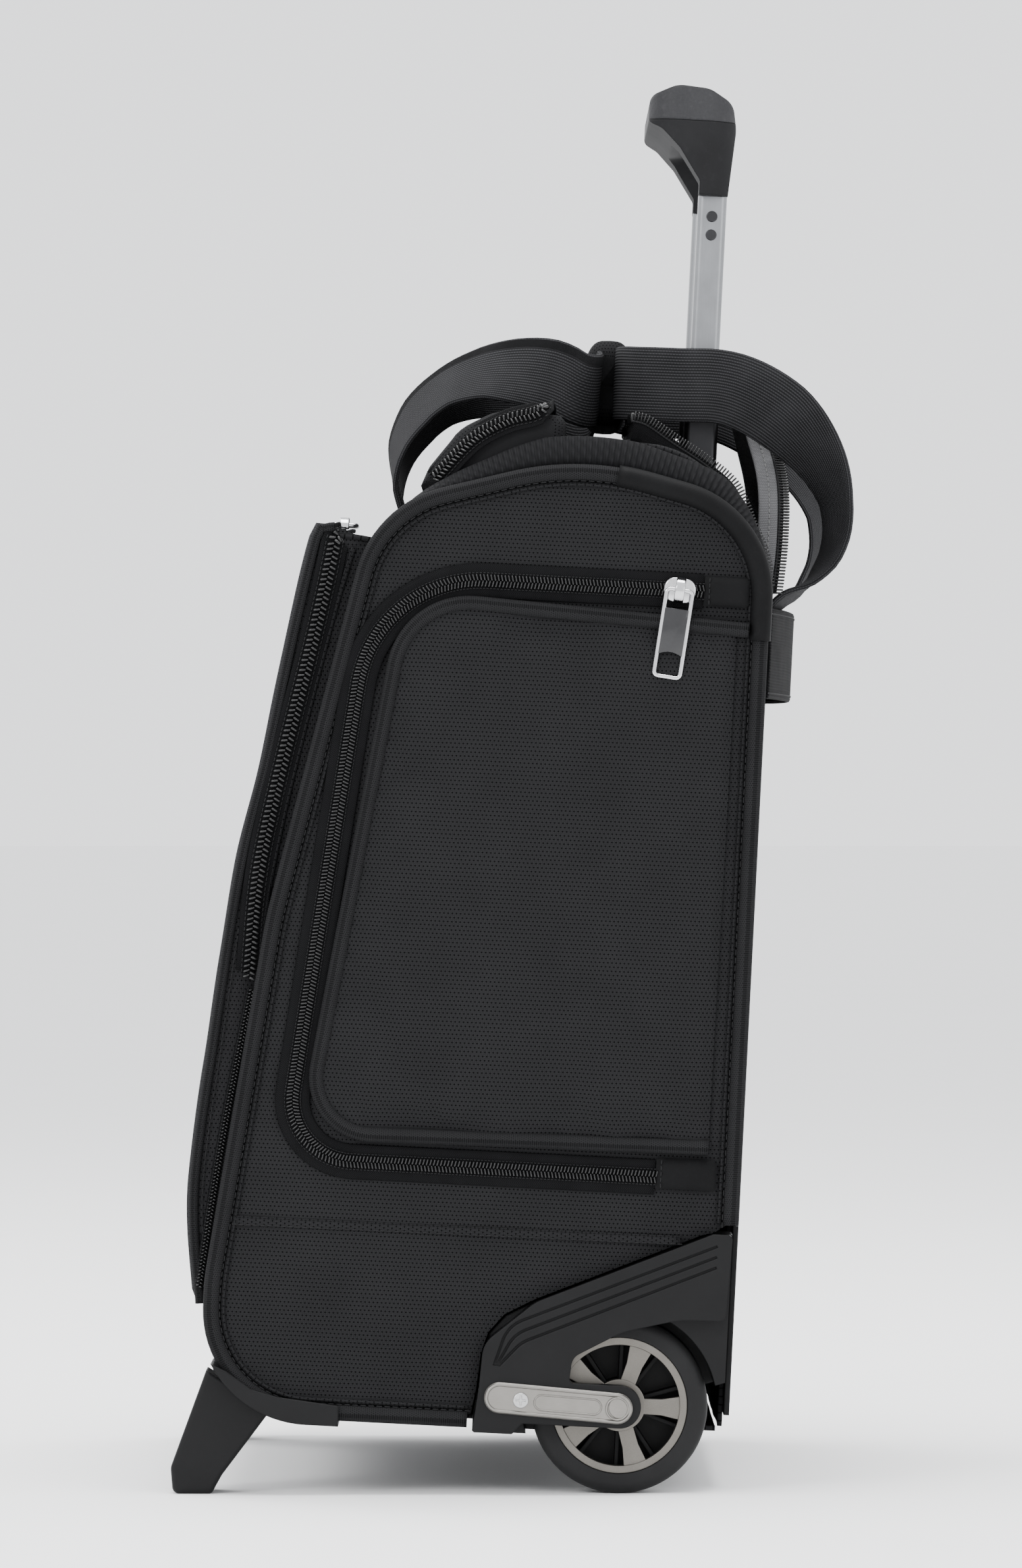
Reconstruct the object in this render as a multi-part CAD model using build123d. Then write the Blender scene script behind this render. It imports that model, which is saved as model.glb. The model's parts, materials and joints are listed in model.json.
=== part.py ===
from build123d import *
import math
import os

# Pilot rolling flight case.
# Everything is drawn in the body frame: origin on the wheel axle, +Y to the back, +Z up along
# the back of the case, +X to the right-hand side. The whole case stands tilted back on its
# wheels and front feet, so each node is turned by LEAN about the axle before it is written,
# and its origin is moved to the middle of the footprint at floor level.

# ---- driving dimensions, mm -------------------------------------------------------------
LEAN = 2.9  # degrees that the case leans back on its wheels
WHEEL_R = 37.5
CASE_W = 350.0  # over the two side panels
HALF = CASE_W / 2
WALL = 2.6  # padded fabric wall
PIPING = 7.0  # visible width of the edge piping
PIPING_IN, PIPING_OUT = HALF - 4.5, HALF + 1.5
SIDE_IN = HALF - WALL
GUSSET_HALF = PIPING_IN
GUSSET_OUT, GUSSET_IN = 1.5, 4.1  # inset of the gusset panels' two faces
TOP_HALF = 158.0  # half width of the lids and bridge on top
BACK_Y = 46.5  # back edge of the side outline
BACK_FACE = BACK_Y - GUSSET_OUT
CLEAR = 0.3  # running clearance between moving faces
SKIN = 0.2  # gap between stacked fabric pieces
HOUSING_GAP = 0.8  # gap between the fabric and the wheel housings

# telescopic handle
TUBE_X = 62.0
TUBE_Y = 15.6
UPPER_TUBE = (16.0, 12.4)
LOWER_TUBE = (18.2, 14.6)
CHANNEL = (21.2, 17.6)
TUBE_WALL = 0.8
UPPER_Z = (191.0, 521.0)
LOWER_Z = (108.0, 446.0)
CHANNEL_Z = (0.0, 335.0)
COLLAR_H = 4.0
GRIP_HALF = 78.0
GRIP_PARTING = 553.0

# wheels
WHEEL_IN, WHEEL_OUT = 144.5, 167.5  # inner and outer face of each tyre
RIM_R = 28.8
AXLE_R = 4.0
BEARING_R = 8.0
HUB_R = 11.0
SPOKES = 5
FIT = 0.05  # radial running fit

# wheel housing
HOUSING_IN, HOUSING_OUT = 138.0, 178.5
ARM_IN = 169.5
POCKET_R = 41.5
INSERT_OUT = 180.0

# side pockets, zips
POCKET_FACE = HALF + SKIN
SLIDER_FACE = HALF + 2.4

SIDES = {"left": -1, "right": 1}


# ---- helpers ----------------------------------------------------------------------------
def rounded(points, radii):
    """Closed side-view face with rounded corners."""
    return make_face(FilletPolyline(*points, radius=radii, close=True))


def polygon(points):
    """Closed straight-sided face."""
    return make_face(Polyline(*points, close=True))


def band(points, width, radii=None):
    """Side-view face of constant width along a path."""
    path = Polyline(*points) if radii is None else FilletPolyline(*points, radius=radii)
    return trace(path, line_width=width)


def ribbon(points, shift):
    """Side-view face between a smooth path and the same path moved by shift."""
    far = [(y + shift[0], z + shift[1]) for y, z in points]
    edges = [Spline(*points), Line(points[-1], far[-1]), Spline(*far), Line(far[0], points[0])]
    return make_face(edges)


def slab(face, x_min, x_max):
    """Solid of a side-view face between two X planes."""
    return extrude(Plane.YZ.offset(x_min) * face, amount=x_max - x_min)


def box(x, y, z):
    """Box from three (low, high) pairs."""
    size = (x[1] - x[0], y[1] - y[0], z[1] - z[0])
    return Pos((x[0] + x[1]) / 2, (y[0] + y[1]) / 2, (z[0] + z[1]) / 2) * Box(*size)


def rod(radius, x_min, x_max, y=0.0, z=0.0):
    """Cylinder along X."""
    return slab(Pos(y, z) * Circle(radius), x_min, x_max)


def mirrored(shape):
    """Shape on the other side of the case."""
    return mirror(shape, about=Plane.YZ)


def pair(shape):
    """Right-hand piece and its left-hand twin."""
    return [shape, mirrored(shape)]


def rectangle_tube(size, height, z):
    """Thin-walled rectangular tube standing at the right-hand handle leg."""
    outer = Rectangle(*size)
    inner = Rectangle(size[0] - 2 * TUBE_WALL, size[1] - 2 * TUBE_WALL)
    return Pos(TUBE_X, TUBE_Y, z) * extrude(fillet(outer.vertices(), 2.5) - inner, amount=height)


# ---- side outlines ----------------------------------------------------------------------
OUTLINE = rounded(
    [(-178, -12), (46.5, -12), (46.5, 382.6), (-36.5, 401.8), (-123.3, 376.7), (-160, 200), (-178.5, 45)],
    [46, 4, 48, 120, 50, 200, 100],
)


def inset(amount):
    """Side outline moved inwards."""
    return offset(OUTLINE, amount=-amount)


SIDE_FACE = inset(PIPING)
PIPING_RING = OUTLINE - SIDE_FACE
GUSSET_RING = inset(GUSSET_OUT) - inset(GUSSET_IN)

# region of the side view that the wheel housing and wheel take from the soft case
HOUSING_TOP = [(-62, -9), (-60, 4.4), (-59, 19.6), (-56.5, 28), (-50, 35.7), (-38, 42.4), (34.8, 74.7)]
WHEEL_CUT = polygon([(-62, -80)] + HOUSING_TOP + [(80, 74.7), (80, -80)])


def without_wheels(shape):
    """Soft piece with both wheel corners cut away."""
    cut = slab(offset(WHEEL_CUT, amount=HOUSING_GAP), HOUSING_IN - SKIN, HOUSING_OUT + 5)
    return shape - cut - mirrored(cut)


def gusset(y, z, x_half=GUSSET_HALF):
    """Stretch of the gusset wall inside the given Y and Z range."""
    whole = slab(GUSSET_RING, -x_half, x_half)
    return whole & box((-x_half, x_half), y, z)


# ---- soft case --------------------------------------------------------------------------
def side_panels():
    panel = without_wheels(slab(SIDE_FACE, SIDE_IN, HALF))
    return {"side_panel_right": [panel], "side_panel_left": [mirrored(panel)]}


SLEEVE_ZONE = polygon([(-22, 300), (-22, 440), (80, 440), (80, 323), (20, 323), (20, 300)])


def edge_piping():
    piping = without_wheels(slab(PIPING_RING - SLEEVE_ZONE, PIPING_IN, PIPING_OUT))
    sleeve = slab(PIPING_RING & SLEEVE_ZONE, PIPING_IN, PIPING_OUT + 1)
    return {"side_piping": pair(piping), "piping_sleeves": pair(sleeve)}


def walls():
    return {
        "base_panel": [without_wheels(gusset((-190, 60), (-20, 30)))],
        "front_panels": [gusset((-190, -100), (30, 344.8)), gusset((-190, -108), (345, 420))],
        "back_panel": [without_wheels(gusset((0, 60), (30, 343)))],
        "divider_panel": [without_wheels(box((-168, 168), (-19.3, -16.7), (-6, 385)))],
    }


def top_edge_bands():
    """Ribbed strips between the piping and the lids."""
    strip = gusset((-108, 60), (345, 420)) & box((TOP_HALF + SKIN, GUSSET_HALF), (-200, 80), (300, 440))
    return {"top_edge_bands": pair(strip)}


REAR_HALF = 112.0  # half width of the rear flap at its hinge
REAR_EDGE = REAR_HALF + 3
LID_TOP = 419.0
BRIDGE_TOP = 410.0
REAR_OPENING_Y = -16.0


def main_lid():
    """Padded cap over the front compartment, closed by a U-shaped zip."""
    cap = rounded(
        [(-106, 384), (-102, 394), (-88, 411.5), (-74, LID_TOP), (-44, LID_TOP), (-44, 388)],
        [0, 10, 20, 14, 3, 0],
    )
    hollow = rounded(
        [(-102.5, 380), (-99, 393), (-86, 409), (-73, LID_TOP - 3), (-47, LID_TOP - 3), (-47, 380)],
        [0, 10, 20, 12, 2, 0],
    )
    lid = slab(cap, -TOP_HALF, TOP_HALF) - slab(hollow, 3 - TOP_HALF, TOP_HALF - 3)
    side = band([(-98, 390), (-83.5, 406.5), (-69, 415), (-55, 415.2)], 7, [40, 20])
    chain = slab(side, TOP_HALF + SKIN, TOP_HALF + 2.6)
    side_bar = box((TOP_HALF + SKIN, TOP_HALF + 2.6), (-58.5, -51.5), (412, LID_TOP + 2.5))
    cross = box((-TOP_HALF - 2.6, TOP_HALF + 2.6), (-58.5, -51.5), (LID_TOP + SKIN, LID_TOP + 2.5))
    zip_u = cross + chain + side_bar + mirrored(chain) + mirrored(side_bar)
    return {"main_lid": [lid], "main_lid_zip": [zip_u]}


REAR_ARCH = [(-16, 408.5), (4, 404.5), (20, 394.5), (35, 378), (42.5, 362), (44.5, 346)]


def rear_opening():
    """Shoulders, open zip and standing flap of the trolley compartment."""
    shoulder = slab(ribbon(REAR_ARCH, (-1.5, -2.6)), REAR_EDGE + SKIN, TOP_HALF)
    bridge = box((-TOP_HALF, TOP_HALF), (-43.5, REAR_OPENING_Y - SKIN), (BRIDGE_TOP - 3, BRIDGE_TOP))
    tape = slab(ribbon([(y + 1, z - 2) for y, z in REAR_ARCH], (4.5, 9)), REAR_EDGE - 2.6, REAR_EDGE)
    cross = box((-REAR_EDGE, REAR_EDGE), (-19.5, REAR_OPENING_Y - SKIN), (BRIDGE_TOP, BRIDGE_TOP + 9))
    flap_path = [(46.6, 350), (48.2, 372), (47, 398), (40, 422), (31, 449)]
    flap_shape = Pos(0, 346) * Ellipse(REAR_HALF - 1, 104) & Pos(0, 406) * Rectangle(2 * REAR_HALF, 120)
    flap_zone = extrude(Plane.XZ.offset(-80) * flap_shape, amount=120)
    lining_shape = Pos(0, 350) * Ellipse(REAR_HALF - 5, 96) & Pos(0, 410) * Rectangle(2 * REAR_HALF, 120)
    lining_zone = extrude(Plane.XZ.offset(-80) * lining_shape, amount=120)
    flap = slab(ribbon(flap_path, (2.4, 0.4)), -REAR_HALF, REAR_HALF) & flap_zone
    lining_path = [(y - 2.2, z) for y, z in flap_path]
    lining = slab(ribbon(lining_path, (1.5, 0)), -REAR_HALF, REAR_HALF) & lining_zone
    return {
        "top_panels": [bridge] + pair(shoulder),
        "rear_zip_open": [cross] + pair(tape),
        "rear_flap": [flap],
        "rear_flap_lining": [lining],
    }


POCKET_HALF = 164.0
POCKET_TOP = 362.0
POCKET_OUTER = [(-148, 362), (-156.5, 322), (-165, 268), (-174, 221), (-181.5, 150), (-187, 82), (-182, 34)]
CASE_FRONT = [(-160.5, 200), (-127.3, 362)]


def front_pocket():
    """Zipped pocket over the front wall."""
    panel = slab(ribbon(POCKET_OUTER, (3, 0)), -POCKET_HALF, POCKET_HALF)
    inner = [(y + 3 + SKIN, z) for y, z in POCKET_OUTER]
    region = make_face([Spline(*inner), Polyline(inner[-1], (-176.5, 34), (-175, 82), *CASE_FRONT, inner[0])])
    gusset_zone = box((-POCKET_HALF, POCKET_HALF), (-220, -100), (90, 400))
    wall_in = POCKET_HALF - 6
    room = box((-wall_in, wall_in), (-220, -100), (0, POCKET_TOP - 6))
    sides = (slab(region, -POCKET_HALF, POCKET_HALF) & gusset_zone) - room
    return {"front_pocket_panel": [panel], "front_pocket_gusset": [sides]}


def front_zips():
    """U-shaped zip of the front pocket and the narrow zip below it."""
    face = POCKET_HALF + SKIN
    run = band([(-136, 365), (-143, 333), (-158, 258), (-164.5, 216), (-166, 174)], 7, [60, 60, 60])
    side = slab(run, face, face + 2.4)
    end = box((face, face + 2.4), (-139.5, -132.5), (358, POCKET_TOP + 2.6))
    top = box((-face - 2.4, face + 2.4), (-139.5, -132.5), (POCKET_TOP + SKIN, POCKET_TOP + 2.6))
    lower = band([(-164.6, 168), (-173.4, 107), (-181.2, 40)], 3.6, [300])
    pocket_zip = top + side + end + mirrored(side) + mirrored(end)
    return {"front_zips": [pocket_zip] + pair(slab(lower, face, face + 2))}


ROLL_PATH = [(38, 331), (-107, 338), (-139, 109.5), (32, 111.5)]
ZIP_PATH = [(18, 346.5), (-121, 346.5), (-148, 98), (10, 98)]


def side_pockets():
    """Padded pocket on each side, framed by a piping roll and a curved zip."""
    roll = band(ROLL_PATH, 6.4, [32, 24])
    field = offset(rounded(ROLL_PATH, [3, 32, 24, 3]), amount=-3.4)
    coil = band(ZIP_PATH, 8, [52, 26])
    tabs = [
        box((POCKET_FACE, POCKET_FACE + 1.6), (18.3, 37.5), (340.5, 353)),
        box((POCKET_FACE, POCKET_FACE + 1.6), (10.3, 36), (93, 106)),
    ]
    panel = slab(field, POCKET_FACE, POCKET_FACE + 3)
    chain = slab(coil, POCKET_FACE, POCKET_FACE + 2)
    return {
        "side_pocket_panels": pair(panel),
        "side_pocket_rolls": pair(slab(roll, POCKET_FACE, POCKET_FACE + 4.6)),
        "side_pocket_zips": pair(chain) + tabs + [mirrored(tab) for tab in tabs],
    }


# ---- handles of webbing -----------------------------------------------------------------
WRAP_HALF = 56.0
FRONT_LEG_X, REAR_LEG_X = 84.0, 94.0
WEB_T = 2.4
FRONT_CROSS_Y, REAR_CROSS_Y = (-31.0, -28.6), (-23.4, -21.0)
STRAP_LOW, STRAP_HIGH = 423.0, 452.0


def carry_handles():
    front_leg = polygon([
        (-31, STRAP_HIGH), (-64, 448), (-78, 442), (-93, 428), (-106, 416), (-117, 399), (-124.5, 373),
        (-120, 373), (-111, 399), (-97, STRAP_LOW), (-31, STRAP_LOW),
    ])
    rear_leg = polygon([
        (-21, STRAP_HIGH), (28, STRAP_HIGH), (50, 443), (66, 430), (75, 412), (80, 384), (77, 362), (66, 350),
        (50.5, 343.5), (50.5, 349), (62, 356), (70, 367), (73, 384), (66, 402), (43, 421), (-21, STRAP_LOW),
    ])
    straps = {}
    for name, leg, leg_x, cross_y in (
        ("front_carry_strap", front_leg, FRONT_LEG_X, FRONT_CROSS_Y),
        ("rear_carry_strap", rear_leg, REAR_LEG_X, REAR_CROSS_Y),
    ):
        side = slab(leg, leg_x, leg_x + WEB_T)
        across = box((-leg_x - WEB_T, leg_x + WEB_T), cross_y, (STRAP_LOW, STRAP_HIGH))
        straps[name] = [side + across + mirrored(side)]
    outer = Pos(-26, 437.5) * RectangleRounded(19, 36, 7)
    inner = Pos(-26, 437.5) * RectangleRounded(13, 30.6, 3)
    straps["handle_wrap"] = [slab(outer - inner, -WRAP_HALF, WRAP_HALF)]
    return straps


def luggage_strap():
    """Bowed band on the back that slips over a larger case's handle."""
    arc = ThreePointArc((-130, 47.5), (0, 60.5), (130, 47.5))
    strap = Pos(0, 0, 303) * extrude(trace(arc, line_width=2), amount=39)
    return {"luggage_strap": [strap & box((-129, 129), (46, 70), (303, 342))]}


# ---- rigid trim -------------------------------------------------------------------------
GUARD_T = 2.2


def corner_guards():
    """Moulded strip over each lower front corner."""
    upper_edge = [(-190, 12), (-175, 10), (-167, 6.7), (-156, -0.4), (-145, -3), (-119, -5.5)]
    zone = polygon(upper_edge + [(-118, -30), (-190, -30)])
    cover = slab(offset(OUTLINE, amount=GUARD_T) & zone, 140, 179) - slab(OUTLINE, 139, PIPING_OUT + SKIN)
    return {"corner_guards": pair(cover)}


def floor_z(y):
    """Height of the floor in the body frame."""
    lean = math.radians(LEAN)
    return (-WHEEL_R + y * math.sin(lean)) / math.cos(lean)


def front_feet():
    profile = rounded(
        [(-176, 6), (-189, -36), (-187.5, floor_z(-187.5)), (-171, floor_z(-171)), (-167, -38), (-148, -10)],
        [0, 6, 3, 2, 3, 0],
    )
    foot = slab(profile, 142, 168) - slab(offset(OUTLINE, amount=GUARD_T), 130, 180)
    foot = fillet(foot.edges().filter_by(Axis.Z, tolerance=35).filter_by_position(Axis.X, 141, 169), 2)
    return {"front_feet": pair(foot)}


HOUSING_ENVELOPE = polygon([(-62, -13.7)] + HOUSING_TOP + [(44.3, 74.7), (44.3, 12), (-30, -13.7)])


def housing_face():
    """Outer plate of the wheel housing, with the arm that carries the axle."""
    plate = rounded(
        [
            (-62, -13.7), (-60, 4.4), (-59, 24), (-38, 42.4), (36, 75), (44.3, 75),
            (43, 38.6), (24, 38.2), (0, 32), (-21, 20), (-22, 9), (9, 9), (9, -9), (-41, -9), (-45, -13.7),
        ],
        [1, 20, 12, 20, 3, 2, 3, 30, 30, 6, 2, 8.9, 8.9, 2, 1],
    )
    return plate


def wheel_housings():
    axle_boss = Circle(12)
    inner_wall = slab(HOUSING_ENVELOPE, HOUSING_IN, WHEEL_IN - 2)
    inner_wall += slab(axle_boss, HOUSING_IN, WHEEL_IN - 2)
    block = slab(HOUSING_ENVELOPE, HOUSING_IN, ARM_IN) - rod(POCKET_R, WHEEL_IN - 2, ARM_IN + 1)
    face = slab(housing_face(), ARM_IN, HOUSING_OUT)
    housing = inner_wall + block + face
    for step in range(3):
        drop = 4.5 * step
        groove = band([(-54 + step, 15), (-49 + 3 * step, 32 - 3.4 * step), (38, 70 - drop)], 1.1, [14])
        housing -= slab(groove, HOUSING_OUT - 0.9, HOUSING_OUT + 1)
    housing -= rod(AXLE_R, HOUSING_IN - 1, HOUSING_OUT + 1)
    housing -= box((130, 180), (60, 90), (0, 90))
    return {"wheel_housing_right": [housing], "wheel_housing_left": [mirrored(housing)]}


SCREW_Y, SCREW_Z = -42.0, 0.9
INSERT_R = 6.6  # half height of the metal plate


def axle_inserts():
    """Metal stadium plate on the arm, with its screw."""
    ends = [Pos(y, z) * Circle(INSERT_R) for y, z in ((-51, 1.5), (-1, -0.6))]
    plate = make_face(make_hull([edge for end in ends for edge in end.edges()]))
    insert = slab(plate, HOUSING_OUT, INSERT_OUT)
    insert = chamfer(insert.faces().sort_by(Axis.X)[-1].edges(), 0.5)
    insert += rod(4.6, INSERT_OUT, INSERT_OUT + 0.9)
    screw = rod(3.3, INSERT_OUT, INSERT_OUT + 1.2, SCREW_Y, SCREW_Z)
    screw = fillet(screw.faces().sort_by(Axis.X)[-1].edges(), 0.6)
    for turn in (0, 90):
        cross = Rot(turn, 0, 0) * box((INSERT_OUT + 0.4, INSERT_OUT + 2), (-2.1, 2.1), (-0.45, 0.45))
        screw -= Pos(0, SCREW_Y, SCREW_Z) * cross
    return {"axle_inserts": pair(insert), "insert_screws": pair(screw)}


def axles():
    axle = rod(AXLE_R - 0.02, HOUSING_IN - 4, HOUSING_OUT - 0.5) + rod(7, HOUSING_IN - 6, HOUSING_IN - SKIN)
    return {"axles": pair(axle)}


def kick_plate():
    plate = box((-136, 136), (BACK_FACE + SKIN, BACK_FACE + 2.6), (-4, 92))
    step = box((-140, 140), (BACK_FACE + 1.6, BACK_FACE + 4), (77, 93))
    return {"kick_plate": [plate - step]}


# ---- wheels -----------------------------------------------------------------------------
def wheel_parts():
    """Tyre, spoked rim, inner web and bearings of the right-hand wheel."""
    middle = (WHEEL_IN + WHEEL_OUT) / 2
    tyre = rod(WHEEL_R, WHEEL_IN, WHEEL_OUT)
    tyre = fillet(tyre.edges(), 4.5) - rod(RIM_R + SKIN, WHEEL_IN - 1, WHEEL_OUT + 1)
    spoke_edge = [(HUB_R - 2, 3.2), (18, 3.4), (RIM_R - 1.5, 5.2)]
    spoke_face = polygon([(y, -z) for y, z in spoke_edge] + spoke_edge[::-1])
    rim_in = WHEEL_OUT - 8
    ring = rod(RIM_R, rim_in, WHEEL_OUT - 0.8) - rod(RIM_R - 3.1, rim_in - 1, WHEEL_OUT)
    hub = rod(HUB_R, rim_in, WHEEL_OUT - 1.5)
    rim = ring + hub
    for index in range(SPOKES):
        rim += slab(Rot(0, 0, 72 * index) * spoke_face, rim_in + 2, WHEEL_OUT - 1.8)
    rim -= rod(BEARING_R + 0.02, rim_in - 1, WHEEL_OUT)
    web = rod(RIM_R, WHEEL_IN + 2, rim_in - SKIN) - rod(RIM_R - 2.4, WHEEL_IN + 4.5, rim_in)
    web += rod(HUB_R, WHEEL_IN + 2, rim_in - SKIN)
    for index in range(2 * SPOKES):
        rib = polygon([(HUB_R - 1, -0.9), (RIM_R - 1, -0.9), (RIM_R - 1, 0.9), (HUB_R - 1, 0.9)])
        web += slab(Rot(0, 0, 36 * index + 18) * rib, WHEEL_IN + 3, rim_in - 1)
    web -= rod(BEARING_R + 0.02, WHEEL_IN, rim_in + 1)
    bearing = rod(BEARING_R, 0, 5) - rod(AXLE_R + FIT, -1, 6)
    spacer = rod(6, WHEEL_IN + 8, WHEEL_OUT - 8) - rod(AXLE_R + 0.3, middle - 20, middle + 20)
    bearings = [Pos(WHEEL_IN + 2.6, 0, 0) * bearing, Pos(WHEEL_OUT - 7.3, 0, 0) * bearing]
    return {"tyre": [tyre], "rim": [rim], "web": [web], "bearings": bearings + [spacer]}


def wheels():
    nodes = {}
    for part_name, solids in wheel_parts().items():
        nodes[f"right_wheel_{part_name}"] = solids
        nodes[f"left_wheel_{part_name}"] = [mirrored(solid) for solid in solids]
    return nodes


# ---- telescopic handle ------------------------------------------------------------------
def collar(outer, inner, z, height):
    ring = fillet(Rectangle(*outer).vertices(), 3) - Rectangle(*inner)
    return Pos(TUBE_X, TUBE_Y, z) * extrude(ring, amount=height)


def handle_frame():
    """Channels, their top guides and the foot that ties them together."""
    channel = rectangle_tube(CHANNEL, CHANNEL_Z[1] - CHANNEL_Z[0], CHANNEL_Z[0])
    lower_room = (LOWER_TUBE[0] + 2 * CLEAR, LOWER_TUBE[1] + 2 * CLEAR)
    guide = collar((25, 21), lower_room, CHANNEL_Z[1], 4.2)
    foot = box((-80, 80), (5, 27), (-7.6, -0.2))
    brace = box((-TUBE_X + 11, TUBE_X - 11), (13, 18.2), (250, 275))
    return {
        "handle_channels": pair(channel),
        "channel_guides": pair(guide),
        "handle_crossbars": [foot, brace],
    }


def handle_stages():
    lower = rectangle_tube(LOWER_TUBE, LOWER_Z[1] - LOWER_Z[0], LOWER_Z[0])
    upper = rectangle_tube(UPPER_TUBE, UPPER_Z[1] - UPPER_Z[0], UPPER_Z[0])
    upper_room = (UPPER_TUBE[0] + 2 * CLEAR, UPPER_TUBE[1] + 2 * CLEAR)
    cap = collar((21.5, 17.4), upper_room, LOWER_Z[1], COLLAR_H)
    rivet = fillet(rod(2.4, TUBE_X + UPPER_TUBE[0] / 2, TUBE_X + UPPER_TUBE[0] / 2 + 0.9).edges(), 0.4)
    rivets = [Pos(0, TUBE_Y, z) * rivet for z in (504, 512)]
    return {
        "lower_stage_tubes": pair(lower),
        "lower_stage_collars": pair(cap),
        "upper_stage_tubes": pair(upper),
        "tube_rivets": rivets + [mirrored(shape) for shape in rivets],
    }


BUTTON_Y, BUTTON_SIZE = -2.5, (22.0, 9.0)


def grip():
    """Two-part grip with its release button and the rods that it pushes."""
    profile = rounded(
        [
            (9.4, 521), (9.4, 527), (0, 541), (-8, 549), (-14, 552), (-14, 563),
            (-2, 568.2), (12, 567), (22.5, 561), (24.4, 550), (22, 521),
        ],
        [0, 3, 8, 8, 3, 5, 12, 12, 8, 20, 0],
    )
    plan = Pos(0, 5) * RectangleRounded(2 * GRIP_HALF, 40, 15)
    whole = slab(profile, -GRIP_HALF, GRIP_HALF) & Pos(0, 0, 500) * extrude(plan, amount=80)
    fingers = Pos(0, 505) * RectangleRounded(102, 78, 12)
    whole -= extrude(Plane.XZ.offset(-40) * fingers, amount=80)
    below = box((-100, 100), (-40, 60), (500, GRIP_PARTING - 0.1))
    above = box((-100, 100), (-40, 60), (GRIP_PARTING + 0.1, 600))
    core = whole & below
    cover = whole & above
    room = box((-68, 68), (-8, 20), (GRIP_PARTING, 559.6))
    well = RectangleRounded(BUTTON_SIZE[0] + 2 * CLEAR, BUTTON_SIZE[1] + 2 * CLEAR, 3)
    cover = cover - room - Pos(0, BUTTON_Y, 555) * extrude(well, amount=20)
    button = Pos(0, BUTTON_Y, 559.2) * extrude(RectangleRounded(*BUTTON_SIZE, 2.8), amount=10)
    button = fillet(button.faces().sort_by(Axis.Z)[-1].edges(), 0.8)
    rods = box((-66, 66), (-6, 18.5), (557.2, 559.2))
    for side in (-1, 1):
        rods += Pos(side * TUBE_X, TUBE_Y, 205) * extrude(Circle(1.5), amount=353)
        core -= Pos(side * TUBE_X, TUBE_Y, 515) * extrude(Circle(2.3), amount=60)
    return {"grip_core": [core], "grip_cover": [cover], "release_button": [button], "release_rods": [rods]}


# ---- zip sliders and pullers ------------------------------------------------------------
SIDE_SLIDER_Y, SIDE_SLIDER_Z = 8.0, 346.5
TOP_SLIDER_X = 138.0
LID_SLIDER_X = -40.0
SLIDER_BASE = 2.0
PIVOT_HEIGHT = 3.5  # height of the puller's swing axis over the slider's foot
PULLER_TILT = 6.0


def zip_slider(along_puller, across):
    """Slider with a bridge that runs the way the puller lies."""
    base = extrude(fillet(Rectangle(along_puller, across).vertices(), 3), amount=SLIDER_BASE)
    base = chamfer(base.faces().sort_by(Axis.Z)[-1].edges(), 0.5)
    posts = [Pos(s * 3.6, 0, 3.4) * Box(1.4, 2.6, 3.6) for s in (-1, 1)]
    bridge = Pos(0, 0, 5.7) * Box(8.6, 2.6, 1.4)
    return base + posts[0] + posts[1] + bridge


def zip_puller(length, width, window=None):
    """Flat puller that lies along -X, its end bar under the bridge at the origin."""
    face = Pos(1.2 - length / 2, 0) * RectangleRounded(length, width, width / 2.6)
    face -= Pos(-4.6, 0) * RectangleRounded(7.2, 4.6, 1)
    if window:
        face -= Pos(1.2 - length + width / 2, 0) * RectangleRounded(window, window, 2)
    return Pos(0, 0, -0.75) * extrude(face, amount=1.5)


def side_zip_pulls():
    """Side pocket sliders: the chain runs along Y, the puller hangs down the panel."""
    nodes = {}
    foot = Plane((SLIDER_FACE, SIDE_SLIDER_Y, SIDE_SLIDER_Z), x_dir=(0, 0, 1), z_dir=(1, 0, 0))
    slider = foot * zip_slider(10, 11.5)
    puller = foot * (Pos(0, 0, PIVOT_HEIGHT) * Rot(0, 0, -PULLER_TILT) * zip_puller(39, 13, 7))
    for side, sign in SIDES.items():
        for name, shape in (("zip_slider", slider), ("zip_puller", puller)):
            nodes[f"{side}_{name}"] = [shape if sign > 0 else mirrored(shape)]
    return nodes


def top_zip_pulls():
    """Sliders on the two straight top runs, which go along X."""
    nodes = {}
    for name, x, y, z in (
        ("front_pocket", TOP_SLIDER_X, -136, POCKET_TOP + 2.8),
        ("main_lid", LID_SLIDER_X, -55, LID_TOP + 2.7),
    ):
        nodes[f"{name}_slider"] = [Pos(x, y, z) * zip_slider(11, 9.5)]
        nodes[f"{name}_puller"] = [Pos(x, y, z + PIVOT_HEIGHT) * zip_puller(30, 12)]
    return nodes


# ---- assembly ---------------------------------------------------------------------------
def assembly():
    nodes = {}
    for make in (
        side_panels, edge_piping, walls, top_edge_bands, main_lid, rear_opening, front_pocket, front_zips,
        side_pockets, carry_handles, luggage_strap, corner_guards, front_feet, wheel_housings, axle_inserts,
        axles, kick_plate, wheels, handle_frame, handle_stages, grip, side_zip_pulls, top_zip_pulls,
    ):
        nodes.update(make())
    return nodes


def stand_up(nodes):
    """Lean the case back on its wheels and put the origin under the middle of its footprint."""
    leaned = {}
    for name, solids in nodes.items():
        leaned[name] = [Pos(0, 0, WHEEL_R) * Rot(-LEAN, 0, 0) * solid for solid in solids]
    boxes = [solid.bounding_box() for solids in leaned.values() for solid in solids]
    middle = (min(b.min.Y for b in boxes) + max(b.max.Y for b in boxes)) / 2
    print("axle y", -middle, "floor", min(b.min.Z for b in boxes))
    return {name: [Pos(0, -middle, 0) * solid for solid in solids] for name, solids in leaned.items()}


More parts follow.
